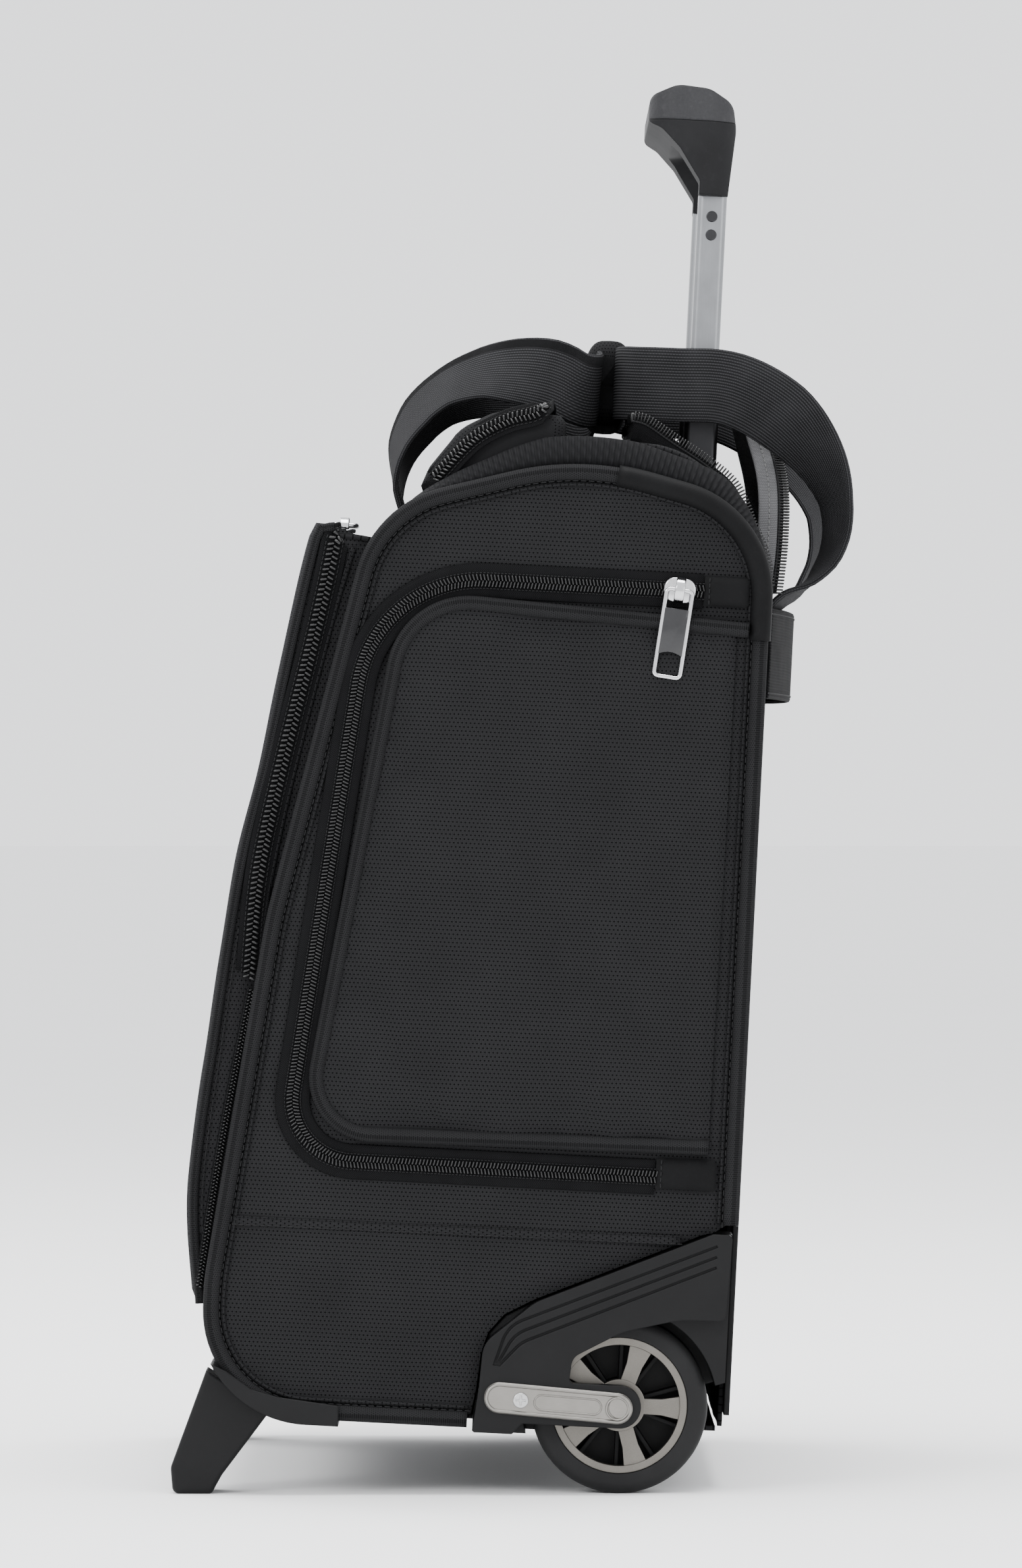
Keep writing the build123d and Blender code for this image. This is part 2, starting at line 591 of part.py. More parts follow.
os.makedirs("parts", exist_ok=True)
for node, solids in stand_up(assembly()).items():
    shape = Compound(children=[part for solid in solids for part in solid.solids()])
    export_step(shape, f"parts/{node}.step")
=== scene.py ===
import json
import math

import bmesh
import bpy
import numpy as np
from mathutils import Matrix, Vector, noise
from mathutils.geometry import delaunay_2d_cdt

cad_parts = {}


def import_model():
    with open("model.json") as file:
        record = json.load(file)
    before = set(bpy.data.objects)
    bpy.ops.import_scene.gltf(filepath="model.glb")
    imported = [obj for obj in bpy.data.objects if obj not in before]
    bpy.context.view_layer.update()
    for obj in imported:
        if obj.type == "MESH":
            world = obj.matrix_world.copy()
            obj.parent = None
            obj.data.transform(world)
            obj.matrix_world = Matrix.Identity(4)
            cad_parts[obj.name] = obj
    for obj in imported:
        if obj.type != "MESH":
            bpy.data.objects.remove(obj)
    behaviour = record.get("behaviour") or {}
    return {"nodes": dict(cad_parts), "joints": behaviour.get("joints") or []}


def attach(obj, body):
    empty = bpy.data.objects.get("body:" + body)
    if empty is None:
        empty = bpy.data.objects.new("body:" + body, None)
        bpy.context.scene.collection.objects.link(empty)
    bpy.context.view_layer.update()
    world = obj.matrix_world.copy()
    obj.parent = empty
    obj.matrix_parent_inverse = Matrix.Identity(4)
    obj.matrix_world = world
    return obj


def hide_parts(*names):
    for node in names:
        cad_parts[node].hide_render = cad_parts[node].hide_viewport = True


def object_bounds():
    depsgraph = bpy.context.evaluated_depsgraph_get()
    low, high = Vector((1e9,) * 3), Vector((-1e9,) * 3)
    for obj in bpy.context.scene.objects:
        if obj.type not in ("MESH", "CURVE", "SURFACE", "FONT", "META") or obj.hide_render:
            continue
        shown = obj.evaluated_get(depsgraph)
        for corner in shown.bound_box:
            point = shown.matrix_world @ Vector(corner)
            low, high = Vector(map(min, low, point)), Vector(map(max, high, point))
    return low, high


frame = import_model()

CAD_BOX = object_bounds()
JOINTS = {joint["name"]: joint for joint in frame["joints"]}
AXLE = Vector(JOINTS["right_wheel_spin"]["pos_m"])
UP = Vector(JOINTS["lower_stage_slide"]["axis"])
BACK = Vector((0, UP.z, -UP.y))
MM = 0.001
SIDES = {"right": 1, "left": -1}


# ---- the body frame: millimetres from the wheel axle, y to the back, z up the back edge ----
def world(point):
    x, y, z = point
    return Vector((x * MM, AXLE.y, AXLE.z)) + BACK * (y * MM) + UP * (z * MM)


# ---- paths ---------------------------------------------------------------------------------
def rounded_path(points, radii, closed=False, step=3.0):
    """Dense points along a path of straight runs whose corners are arcs."""
    points = [Vector(p) for p in points]
    count = len(points)
    path = []
    for i, corner in enumerate(points):
        radius = radii[i] if closed else (radii[i - 1] if 0 < i < count - 1 else 0)
        if not radius:
            path.append(corner)
            continue
        before = (points[i - 1] - corner).normalized()
        after = (points[(i + 1) % count] - corner).normalized()
        half = before.angle(after) / 2
        centre = corner + (before + after).normalized() * (radius / math.sin(half))
        start = corner + before * (radius / math.tan(half)) - centre
        turn = math.pi - 2 * half
        steps = max(3, int(radius * turn / step))
        end = corner + after * (radius / math.tan(half)) - centre
        for k in range(steps + 1):
            share = k / steps
            spoke = start * math.sin((1 - share) * turn) + end * math.sin(share * turn)
            path.append(centre + spoke / math.sin(turn))
    return path


def smooth_path(points, step=3.0):
    """Dense points along a Catmull-Rom curve through the points."""
    points = [Vector(p) for p in points]
    path = []
    for i in range(len(points) - 1):
        a = points[max(i - 1, 0)]
        b, c = points[i], points[i + 1]
        d = points[min(i + 2, len(points) - 1)]
        steps = max(2, int((c - b).length / step))
        for k in range(steps):
            t = k / steps
            square = 2 * a - 5 * b + 4 * c - d
            cube = 3 * b - a - 3 * c + d
            path.append(0.5 * (2 * b + (c - a) * t + square * t * t + cube * t ** 3))
    path.append(points[-1])
    return path


def spaced(path, step, closed=False):
    """The path again with even spacing close to step."""
    points = list(path) + ([path[0]] if closed else [])
    lengths = np.array([0] + [(b - a).length for a, b in zip(points, points[1:])]).cumsum()
    count = max(2, round(lengths[-1] / step))
    marks = np.linspace(0, lengths[-1], count + 1)
    table = np.array([tuple(p) for p in points])
    even = np.stack([np.interp(marks, lengths, table[:, k]) for k in range(table.shape[1])], 1)
    even = [Vector(row) for row in even]
    return even[:-1] if closed else even


def directions(path, closed=False):
    """Unit tangent at each point."""
    found = []
    count = len(path)
    for i in range(count):
        ahead = path[(i + 1) % count] if closed else path[min(i + 1, count - 1)]
        behind = path[i - 1] if closed or i else path[0]
        found.append((ahead - behind).normalized())
    return found


def moved(path, distance, closed=False):
    """A 2-D path moved to its left by distance."""
    turned = [Vector((-t.y, t.x)) for t in directions(path, closed)]
    return [p + n * distance for p, n in zip(path, turned)]


def at_x(path, x):
    """2-D side-view path as 3-D points in the plane of that x."""
    return [Vector((x, p.x, p.y)) for p in path]


def mirrored(path):
    """The path on the other side of the case, run backwards."""
    return [Vector((-p.x, p.y, p.z)) for p in path[::-1]]


def both_sides(build):
    for side, sign in SIDES.items():
        build(side, sign)


# ---- meshes --------------------------------------------------------------------------------
def new_piece(name, points, faces, uvs, material, slot, body="case", over=()):
    """Mesh piece from body-frame points. uvs holds one (u, v) in millimetres per vertex."""
    mesh = bpy.data.meshes.new(name)
    mesh.from_pydata([world(p) for p in points], [], faces)
    layer = mesh.uv_layers.new(name="weave")
    for loop in mesh.loops:
        layer.data[loop.index].uv = uvs[loop.vertex_index]
    mesh.polygons.foreach_set("use_smooth", [True] * len(mesh.polygons))
    piece = bpy.data.objects.new(name, mesh)
    bpy.context.scene.collection.objects.link(piece)
    mesh.materials.append(material)
    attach(piece, body)
    if over:
        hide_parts(*over)
    return piece


def outward(piece):
    shape = bmesh.new()
    shape.from_mesh(piece.data)
    bmesh.ops.recalc_face_normals(shape, faces=shape.faces)
    shape.to_mesh(piece.data)
    shape.free()


def grid(name, rows, material, slot, wrap=False, close=False, caps=False, thick=0.0, **how):
    """Piece from a grid of points. wrap joins the columns, close joins the rows, caps fill the ends."""
    height, width = len(rows), len(rows[0])
    points = [p for row in rows for p in row]
    middle, first = rows[height // 2], [row[0] for row in rows]
    across = np.cumsum([0] + [(b - a).length for a, b in zip(middle, middle[1:])])
    along = np.cumsum([0] + [(b - a).length for a, b in zip(first, first[1:])])
    uvs = [(across[j], along[i]) for i in range(height) for j in range(width)]
    faces = []
    for i in range(height if close else height - 1):
        for j in range(width if wrap else width - 1):
            a, b = i * width + j, i * width + (j + 1) % width
            c, d = ((i + 1) % height) * width + (j + 1) % width, ((i + 1) % height) * width + j
            faces.append((a, b, c, d))
    if caps:
        faces.append(tuple(range(width))[::-1])
        faces.append(tuple((height - 1) * width + j for j in range(width)))
    piece = new_piece(name, points, faces, uvs, material, slot, **how)
    if thick:
        shell = piece.modifiers.new("Solidify", "SOLIDIFY")
        shell.thickness, shell.offset = thick * MM, 0
    else:
        outward(piece)
    return piece


def sweep(name, path, section, sides, material, slot, closed=False, **how):
    """Closed section of (across, out) offsets carried along a path. sides is the across direction."""
    tangents = directions(path, closed)
    if isinstance(sides, Vector):
        sides = [sides] * len(path)
    rows = []
    for p, t, side in zip(path, tangents, sides):
        out = side.cross(t).normalized()
        across = t.cross(out).normalized()
        rows.append([p + across * a + out * b for a, b in section])
    return grid(name, rows, material, slot, wrap=True, close=closed, caps=not closed, **how)


def circle(radius, count=12, flat=1.0):
    """Round section, squeezed by flat in its out direction."""
    angles = [2 * math.pi * k / count for k in range(count)]
    return [(radius * math.cos(a), flat * radius * math.sin(a)) for a in angles]


def strap_section(width, thick, edge=4):
    """Flat section with round edges."""
    half, radius = width / 2 - thick / 2, thick / 2
    angles = np.linspace(-math.pi / 2, math.pi / 2, edge + 1)
    right = [(half + radius * math.cos(a), radius * math.sin(a)) for a in angles]
    between = [(x, radius) for x in np.linspace(half, -half, 9)[1:-1]]
    left = [(-x, -y) for x, y in right]
    below = [(-x, -y) for x, y in between]
    return right + between + left + below


X_AXIS, Y_AXIS, Z_AXIS = Vector((1, 0, 0)), Vector((0, 1, 0)), Vector((0, 0, 1))


def tube(name, path, radius, material, slot, flat=1.0, **how):
    """Round cord of piping along a body-frame path."""
    return sweep(name, path, circle(radius, flat=flat), X_AXIS, material, slot, **how)


ROW_SHARE = 0.87
BORDER_SHARE = 0.55


def filled(outline, spacing):
    """2-D points and triangles that fill an outline evenly."""
    border = [Vector((p[0], p[1])) for p in outline]
    ring = np.array([tuple(p) for p in border])
    low, high = ring.min(0), ring.max(0)
    inside = []
    rows = int((high[1] - low[1]) / (spacing * ROW_SHARE))
    for row in range(rows + 1):
        y = low[1] + row * spacing * ROW_SHARE
        for x in np.arange(low[0] + (row % 2) * spacing / 2, high[0], spacing):
            inside.append((x, y))
    inside = np.array(inside)
    distance = edge_distance(inside, ring)
    keep = [Vector(p) for p, d in zip(inside, distance) if d > spacing * BORDER_SHARE and within(p, ring)]
    count = len(border)
    edges = [(i, (i + 1) % count) for i in range(count)]
    points, _, faces, *_ = delaunay_2d_cdt(border + keep, edges, [], 1, 1e-5)
    return points, faces


def edge_distance(points, ring):
    """Distance of each 2-D point from the closed outline."""
    best = np.full(len(points), 1e9)
    points = np.asarray(points, float)
    for a, b in zip(ring, np.roll(ring, -1, 0)):
        run = b - a
        share = np.clip(((points - a) @ run) / max(run @ run, 1e-9), 0, 1)
        best = np.minimum(best, np.linalg.norm(points - (a + share[:, None] * run), axis=1))
    return best


def within(point, ring):
    """Whether the 2-D point lies inside the closed outline."""
    x, y = point
    ahead = np.roll(ring, -1, 0)
    crosses = (ring[:, 1] > y) != (ahead[:, 1] > y)
    slope = np.where(ahead[:, 1] == ring[:, 1], 1e-9, ahead[:, 1] - ring[:, 1])
    reach = (ahead[:, 0] - ring[:, 0]) * (y - ring[:, 1]) / slope + ring[:, 0]
    return bool(np.sum(crosses & (x < reach)) % 2)


def ripple(point, size, seed):
    """Soft unevenness of cloth, from -1 to 1."""
    return noise.noise(Vector((point[0] / size + seed, point[1] / size, point[2] / size)))


SWELLING = []


def crowned(name, outline, place, crown, edge, material, slot, spacing=5.0, wave=0.0, swell=0.0, **how):
    """Padded panel over an outline. place(u, v, height) gives the body-frame point.
    swell is how far, in millimetres, cloth under pressure may rise later."""
    points, faces = filled(outline, spacing)
    a, b, c = (world(place(points[k].x, points[k].y, 0)) for k in faces[0])
    u, v = points[faces[0][0]]
    if (b - a).cross(c - a).dot(world(place(u, v, 1)) - a) < 0:
        faces = [face[::-1] for face in faces]
    ring = np.array([tuple(p) for p in outline])
    distance = edge_distance(np.array([tuple(p) for p in points]), ring)
    rows = []
    for p, d in zip(points, distance):
        share = min(d / edge, 1)
        lift = crown * math.sqrt(max(0, 1 - (1 - share) ** 2))
        lift += wave * ripple((p.x, p.y, 0), 38, len(name)) * share
        rows.append(place(p.x, p.y, lift))
    piece = new_piece(name, rows, faces, [(p.x, p.y) for p in points], material, slot, **how)
    if swell:
        SWELLING.append((piece, list(range(len(outline))), swell))
    return piece


FRAMES = 20
CLOTH = {
    "vertex_group_mass": "seam", "quality": 5, "mass": 0.3, "tension_stiffness": 18,
    "compression_stiffness": 18, "shear_stiffness": 6, "bending_stiffness": 0.05, "air_damping": 3,
    "shrink_min": -0.02, "use_pressure": True, "uniform_pressure_force": 5.0,
}


def swell_all():
    """Cloth simulation of the padded panels, held at their seams, with the result kept in the mesh."""
    for piece, pinned, _ in SWELLING:
        group = piece.vertex_groups.new(name="seam")
        group.add(pinned, 1.0, "REPLACE")
        cloth = piece.modifiers.new("Cloth", "CLOTH")
        for key, value in CLOTH.items():
            setattr(cloth.settings, key, value)
        cloth.settings.effector_weights.gravity = 0
    for number in range(1, FRAMES + 1):
        bpy.context.scene.frame_set(number)
    depsgraph = bpy.context.evaluated_depsgraph_get()
    results = []
    for piece, _, cap in SWELLING:
        moved_to = [v.co.copy() for v in piece.evaluated_get(depsgraph).data.vertices]
        results.append((piece, moved_to, cap * MM))
    for piece, moved_to, cap in results:
        piece.modifiers.remove(piece.modifiers["Cloth"])
        for vertex, target in zip(piece.data.vertices, moved_to):
            shift = target - vertex.co
            vertex.co = vertex.co + shift * (cap / (cap + shift.length))
    bpy.context.scene.frame_set(1)


BAR_SIDES = 6


def bars(name, frames, length, width, height, material, slot, taper=0.6, **how):
    """Many small rounded bars. Each frame is (centre, along, up) in the body frame."""
    points, faces, uvs = [], [], []
    stations = ((-0.5, taper), (-0.38, 1), (0.38, 1), (0.5, taper))
    for centre, along, up in frames:
        side = along.cross(up).normalized()
        first = len(points)
        for station, scale in stations:
            for k in range(BAR_SIDES):
                angle = math.pi / 6 + k * math.pi / 3
                offset = side * (math.cos(angle) * width / 2 * scale * 1.1)
                offset = offset + up * (math.sin(angle) * height / 2 * scale)
                points.append(centre + along * (length * station) + offset)
                uvs.append((k, station))
        last = len(points) - BAR_SIDES
        for ring in range(first, last, BAR_SIDES):
            for k in range(BAR_SIDES):
                a, b = ring + k, ring + (k + 1) % BAR_SIDES
                faces.append((a, b, b + BAR_SIDES, a + BAR_SIDES))
        faces.append(tuple(first + k for k in range(BAR_SIDES))[::-1])
        faces.append(tuple(last + k for k in range(BAR_SIDES)))
    piece = new_piece(name, points, faces, uvs, material, slot, **how)
    outward(piece)
    return piece


# ---- materials -----------------------------------------------------------------------------
class Value:
    """A number that varies over a surface, with arithmetic done by Math nodes."""

    def __init__(self, tree, socket):
        self.tree, self.socket = tree, socket

    def math(self, operation, *others):
        node = self.tree.nodes.new("ShaderNodeMath")
        node.operation = operation
        for index, item in enumerate((self, *others)):
            if isinstance(item, Value):
                self.tree.links.new(item.socket, node.inputs[index])
            else:
                node.inputs[index].default_value = item
        return Value(self.tree, node.outputs[0])

    def __add__(self, other):
        return self.math("ADD", other)

    def __sub__(self, other):
        return self.math("SUBTRACT", other)

    def __mul__(self, other):
        return self.math("MULTIPLY", other)

    def wave(self, pitch, phase=0.0):
        """Smooth 0 to 1 wave of that pitch."""
        return (self * (2 * math.pi / pitch) + phase).math("SINE") * 0.5 + 0.5

    def band(self, low, high):
        """0 below low, 1 above high, smooth between."""
        node = self.tree.nodes.new("ShaderNodeMapRange")
        node.interpolation_type = "SMOOTHSTEP"
        self.tree.links.new(self.socket, node.inputs[0])
        node.inputs[1].default_value, node.inputs[2].default_value = low, high
        return Value(self.tree, node.outputs[0])


class Finish:
    """One material: dark and light colour, roughness range, and bump from its pattern."""

    def __init__(self, name, dark, light, rough, metallic=0.0, round_edge=0.0, **sockets):
        self.material = bpy.data.materials.new(name)
        self.material.use_nodes = True
        self.tree = self.material.node_tree
        self.shader = self.tree.nodes["Principled BSDF"]
        self.shader.inputs["Metallic"].default_value = metallic
        for key, value in sockets.items():
            self.shader.inputs[key.replace("_", " ")].default_value = value
        self.dark, self.light, self.rough, self.round_edge = dark, light, rough, round_edge

    def coordinate(self, axis):
        """One UV coordinate, in millimetres."""
        node = self.tree.nodes.new("ShaderNodeTexCoord")
        split = self.tree.nodes.new("ShaderNodeSeparateXYZ")
        self.tree.links.new(node.outputs["UV"], split.inputs[0])
        return Value(self.tree, split.outputs[axis])

    def noise(self, size, detail=3.0):
        """Noise from 0 to 1 with features of that size in millimetres."""
        node = self.tree.nodes.new("ShaderNodeTexCoord")
        texture = self.tree.nodes.new("ShaderNodeTexNoise")
        texture.inputs["Scale"].default_value = 1 / MM / size
        texture.inputs["Detail"].default_value = detail
        self.tree.links.new(node.outputs["Object"], texture.inputs["Vector"])
        return Value(self.tree, texture.outputs["Fac"])

    def made(self, shade, relief=None, depth=0.1, rough_by=None):
        """Colours by shade (0 to 1), bumps by relief (0 to 1 over depth in millimetres)."""
        mix = self.tree.nodes.new("ShaderNodeMix")
        mix.data_type = "RGBA"
        mix.inputs[6].default_value = (*self.dark, 1)
        mix.inputs[7].default_value = (*self.light, 1)
        self.tree.links.new(shade.socket, mix.inputs[0])
        self.tree.links.new(mix.outputs[2], self.shader.inputs["Base Color"])
        low, high = self.rough
        rough = (rough_by or shade) * (high - low) + low
        self.tree.links.new(rough.socket, self.shader.inputs["Roughness"])
        if relief is not None:
            bump = self.tree.nodes.new("ShaderNodeBump")
            bump.inputs["Strength"].default_value = 1.0
            bump.inputs["Distance"].default_value = depth * MM
            self.tree.links.new(relief.socket, bump.inputs["Height"])
            if self.round_edge:
                bevel = self.tree.nodes.new("ShaderNodeBevel")
                bevel.samples = 6
                bevel.inputs["Radius"].default_value = self.round_edge * MM
                self.tree.links.new(bevel.outputs[0], bump.inputs["Normal"])
            self.tree.links.new(bump.outputs[0], self.shader.inputs["Normal"])
        return self.material


def woven_nylon(name="nylon", pitch=1.75, dark=(0.0021, 0.0021, 0.0023), light=(0.019, 0.019, 0.02)):
    """Ballistic nylon: basket weave with staggered rows of pin holes."""
    f = Finish(name, dark, light, (0.62, 0.85), Specular_IOR_Level=0.03)
    u, v = f.coordinate(0), f.coordinate(1)
    row = (v * (1 / pitch)).math("FLOOR").math("MODULO", 2) * (pitch / 2)
    hole = (u + row).wave(pitch) * v.wave(pitch)
    weave = u.wave(pitch / 2) * v.wave(pitch / 2, 1.6)
    cloud = f.noise(26)
    fluff = f.noise(0.7, 2)
    relief = hole.band(0.55, 0.9) * -0.8 + weave * 0.3 + fluff * 0.2 + 0.8
    shade = relief * 0.95 + cloud * 0.3 - 0.42
    return f.made(shade, relief, 0.3, rough_by=cloud)


def ribbed(name, pitch, across, thread, dark=(0.008, 0.008, 0.0085), light=(0.05, 0.05, 0.053), depth=0.3):
    """Webbing or ribbed band: ribs across one UV axis with a finer thread across them."""
    f = Finish(name, dark, light, (0.6, 0.82), Specular_IOR_Level=0.03)
    u, v = f.coordinate(across), f.coordinate(1 - across)
    row = (u * (1 / pitch)).math("FLOOR").math("MODULO", 2) * (thread / 2)
    lines = (v + row).wave(thread)
    cloud = f.noise(14)
    relief = u.wave(pitch) * (lines * 0.55 + 0.45)
    return f.made(relief * 0.75 + cloud * 0.35 - 0.15, relief, depth, rough_by=cloud)


def moulded(name, dark, light, rough, grain=0.35, depth=0.03, **sockets):
    """Moulded plastic or rubber with a fine grain and rubbed patches."""
    sockets.setdefault("Specular_IOR_Level", 0.13)
    f = Finish(name, dark, light, rough, **sockets)
    fine = f.noise(grain, 2)
    cloud = f.noise(18)
    scuff = f.noise(2.4, 5).band(0.56, 0.72)
    return f.made(cloud * 0.6 + fine * 0.25 + scuff * 0.15, fine, depth, rough_by=cloud * 0.7 + scuff * 0.3)


def metal(name, dark, light, rough, grain):
    """Metal with drawn lines or fine mottling and smudges."""
    f = Finish(name, dark, light, rough, metallic=1.0, round_edge=0.5)
    node = f.tree.nodes.new("ShaderNodeTexCoord")
    stretch = f.tree.nodes.new("ShaderNodeMapping")
    stretch.inputs["Scale"].default_value = [1 / MM / g for g in grain]
    texture = f.tree.nodes.new("ShaderNodeTexNoise")
    f.tree.links.new(node.outputs["Object"], stretch.inputs[0])
    f.tree.links.new(stretch.outputs[0], texture.inputs["Vector"])
    lines = Value(f.tree, texture.outputs["Fac"])
    smudge = f.noise(9)
    return f.made(lines * 0.5 + smudge * 0.5, lines, 0.004, rough_by=smudge * 0.7 + lines * 0.3)


TWILL_WIDTH = 2.6


def tape_cloth():
    """Herringbone zip tape."""
    dark, light = (0.00084, 0.00084, 0.000924), (0.01008, 0.01008, 0.01092)
    f = Finish("zip_tape", dark, light, (0.65, 0.85), Specular_IOR_Level=0.05)
    u, v = f.coordinate(0), f.coordinate(1)
    fold = (u * (1 / TWILL_WIDTH)).math("FRACT").math("SUBTRACT", 0.5).math("ABSOLUTE") * TWILL_WIDTH
    line = (v + fold).wave(0.85)
    cloud = f.noise(12)
    return f.made(line * 0.5 + cloud * 0.45, line, 0.14, rough_by=cloud)


NYLON = woven_nylon()
NYLON_FRONT = woven_nylon("nylon_front", 1.75, (0.0019, 0.0019, 0.002), (0.019, 0.019, 0.021))
PIPING = woven_nylon("piping_cloth", 0.9, (0.002, 0.002, 0.0022), (0.022, 0.022, 0.023))
SLEEVE = moulded(
    "sleeve_cloth", (0.002, 0.002, 0.0022), (0.0091, 0.0091, 0.0096), (0.55, 0.7), 0.5, 0.08,
    Specular_IOR_Level=0.06,
)
WEBBING = ribbed("webbing", 1.25, 0, 1.25)
DARK_WEBBING = ribbed("dark_webbing", 1.25, 0, 1.25, (0.002, 0.002, 0.0022), (0.012, 0.012, 0.0128))
RIB_BAND = ribbed("ribbed_band", 2.3, 1, 6.0, light=(0.011, 0.011, 0.012), depth=0.8)
TAPE = tape_cloth()
COIL = moulded(
    "zip_coil", (0.002, 0.002, 0.0022), (0.0081, 0.0081, 0.0086), (0.22, 0.34), 0.6, 0.02,
    Specular_IOR_Level=0.4,
)
THREAD = moulded("thread", (0.004, 0.004, 0.0044), (0.019, 0.019, 0.02), (0.6, 0.8), 0.3, 0.03)
LINING = ribbed("lining_cloth", 0.8, 1, 0.8, (0.0495, 0.0495, 0.05115), (0.1485, 0.1485, 0.154), 0.08)
LINING_THREAD = moulded("lining_thread", (0.066, 0.066, 0.066), (0.165, 0.165, 0.165), (0.6, 0.8), 0.3, 0.03)
HOUSING = moulded(
    "housing_plastic", (0.0035, 0.0035, 0.00375), (0.0085, 0.0085, 0.009), (0.36, 0.5), 0.5, 0.02,
    round_edge=1.2,
)
FOOT = moulded(
    "foot_plastic", (0.0035, 0.0035, 0.00375), (0.009, 0.009, 0.0095), (0.38, 0.55), 0.5, 0.02,
    round_edge=1.6,
)
TYRE = moulded(
    "tyre_rubber", (0.006, 0.006, 0.00625), (0.0175, 0.0175, 0.018), (0.5, 0.7), 0.5, 0.03, round_edge=0.8,
)
WEB = moulded(
    "wheel_web", (0.00125, 0.00125, 0.0013), (0.004, 0.004, 0.00425), (0.4, 0.55), 0.5, 0.02, round_edge=0.8,
)
RIM = metal("wheel_rim", (0.0936, 0.08784, 0.0792), (0.1944, 0.1836, 0.1656), (0.34, 0.5), (2, 2, 2))
INSERT = metal("satin_insert", (0.144, 0.1368, 0.126), (0.288, 0.2772, 0.2592), (0.26, 0.4), (0.5, 18, 0.5))
STEEL = metal("steel", (0.3, 0.3, 0.3), (0.6, 0.6, 0.6), (0.22, 0.38), (1, 1, 1))
CHROME = metal("chrome", (0.42, 0.42, 0.43), (0.7, 0.7, 0.71), (0.06, 0.18), (3, 3, 3))
DARK_PLATE = moulded(
    "puller_plate", (0.01, 0.01, 0.011), (0.03, 0.03, 0.032), (0.1, 0.2), 1.5, 0.004, Coat_Weight=0.5,
)
SILVER = metal("silver_tube", (0.18, 0.1836, 0.1908), (0.3024, 0.3096, 0.3204), (0.24, 0.4), (0.3, 0.3, 40))
DARK_TUBE = metal(
    "dark_tube", (0.0216, 0.0216, 0.02304), (0.054, 0.054, 0.05616), (0.3, 0.45), (0.3, 0.3, 40),
)
GRIP_TOP = moulded(
    "grip_cover", (0.012, 0.012, 0.013), (0.047, 0.047, 0.05), (0.45, 0.62), 1.1, 0.1, round_edge=2.2,
)
GRIP_BASE = moulded(
    "grip_core", (0.009, 0.009, 0.0095), (0.022, 0.022, 0.023), (0.55, 0.7), 0.5, 0.015, round_edge=1.2,
    Specular_IOR_Level=0.04,
)

CAD_FINISHES = {
    "wheel_housing_left": HOUSING, "wheel_housing_right": HOUSING, "corner_guards": FOOT, "front_feet": FOOT,
    "kick_plate": HOUSING, "axle_inserts": INSERT, "insert_screws": STEEL, "axles": STEEL,
    "tube_rivets": DARK_TUBE,
    "handle_channels": SILVER, "handle_crossbars": GRIP_BASE, "channel_guides": GRIP_BASE,
    "lower_stage_tubes": DARK_TUBE, "lower_stage_collars": GRIP_BASE, "upper_stage_tubes": SILVER,
    "grip_core": GRIP_BASE, "grip_cover": GRIP_TOP, "release_button": GRIP_BASE, "release_rods": STEEL,
    "front_pocket_slider": CHROME, "front_pocket_puller": CHROME,
    "main_lid_slider": CHROME, "main_lid_puller": CHROME,
    "divider_panel": NYLON, "back_panel": NYLON, "base_panel": NYLON, "front_panels": NYLON,
}
for side_name in SIDES:
    CAD_FINISHES[f"{side_name}_wheel_tyre"] = TYRE
    CAD_FINISHES[f"{side_name}_wheel_rim"] = RIM
    CAD_FINISHES[f"{side_name}_wheel_web"] = WEB
    CAD_FINISHES[f"{side_name}_wheel_bearings"] = STEEL
    CAD_FINISHES[f"{side_name}_zip_slider"] = CHROME
    CAD_FINISHES[f"{side_name}_zip_puller"] = CHROME
for node_name, node in frame["nodes"].items():
    node.data.materials.clear()
    node.data.materials.append(CAD_FINISHES.get(node_name, NYLON))


# ---- zips and seams ------------------------------------------------------------------------
def coil_zip(name, path, out, tape, pitch):
    """Closed coil zip: tape, two rows of interlocked teeth and their sewing threads. out is its normal."""
    path = spaced(path, pitch)
    tangents = directions(path)
    side = [t.cross(out).normalized() for t in tangents]
    section = strap_section(2 * tape, 0.7, 2)
    sweep(f"{name}_tape", path[::3] + [path[-1]], section, side[::3] + [side[-1]], TAPE, "zip_chain")
    teeth, threads = [], []
    for p, t, s in zip(path, tangents, side):
        top = p + out
        teeth.append((top + s * 1.35, (s + t * 0.25).normalized(), out))
        teeth.append((top - s * 1.35 + t * (pitch / 2), (s - t * 0.25).normalized(), out))
        for lane in (-3.3, 3.3):
            threads.append((p + out * 0.75 + s * lane, t, out))
    bars(f"{name}_teeth", teeth, 2.9, 0.85, 1.5, COIL, "zip_chain")
    bars(f"{name}_threads", threads, pitch * 0.72, 0.5, 0.6, THREAD, "zip_chain")


def stitches(name, path, out, pitch=3.2, material=THREAD, slot="nylon_fabric"):
    """Row of stitches lying on a surface. out is one normal, or a list of them along the path."""
    path = spaced(path, pitch)
    outs = [out] if isinstance(out, Vector) else out
    picks = [outs[int(i * len(outs) / len(path))] for i in range(len(path))]
    bars(name, list(zip(path, directions(path), picks)), pitch * 0.72, 0.55, 0.5, material, slot)


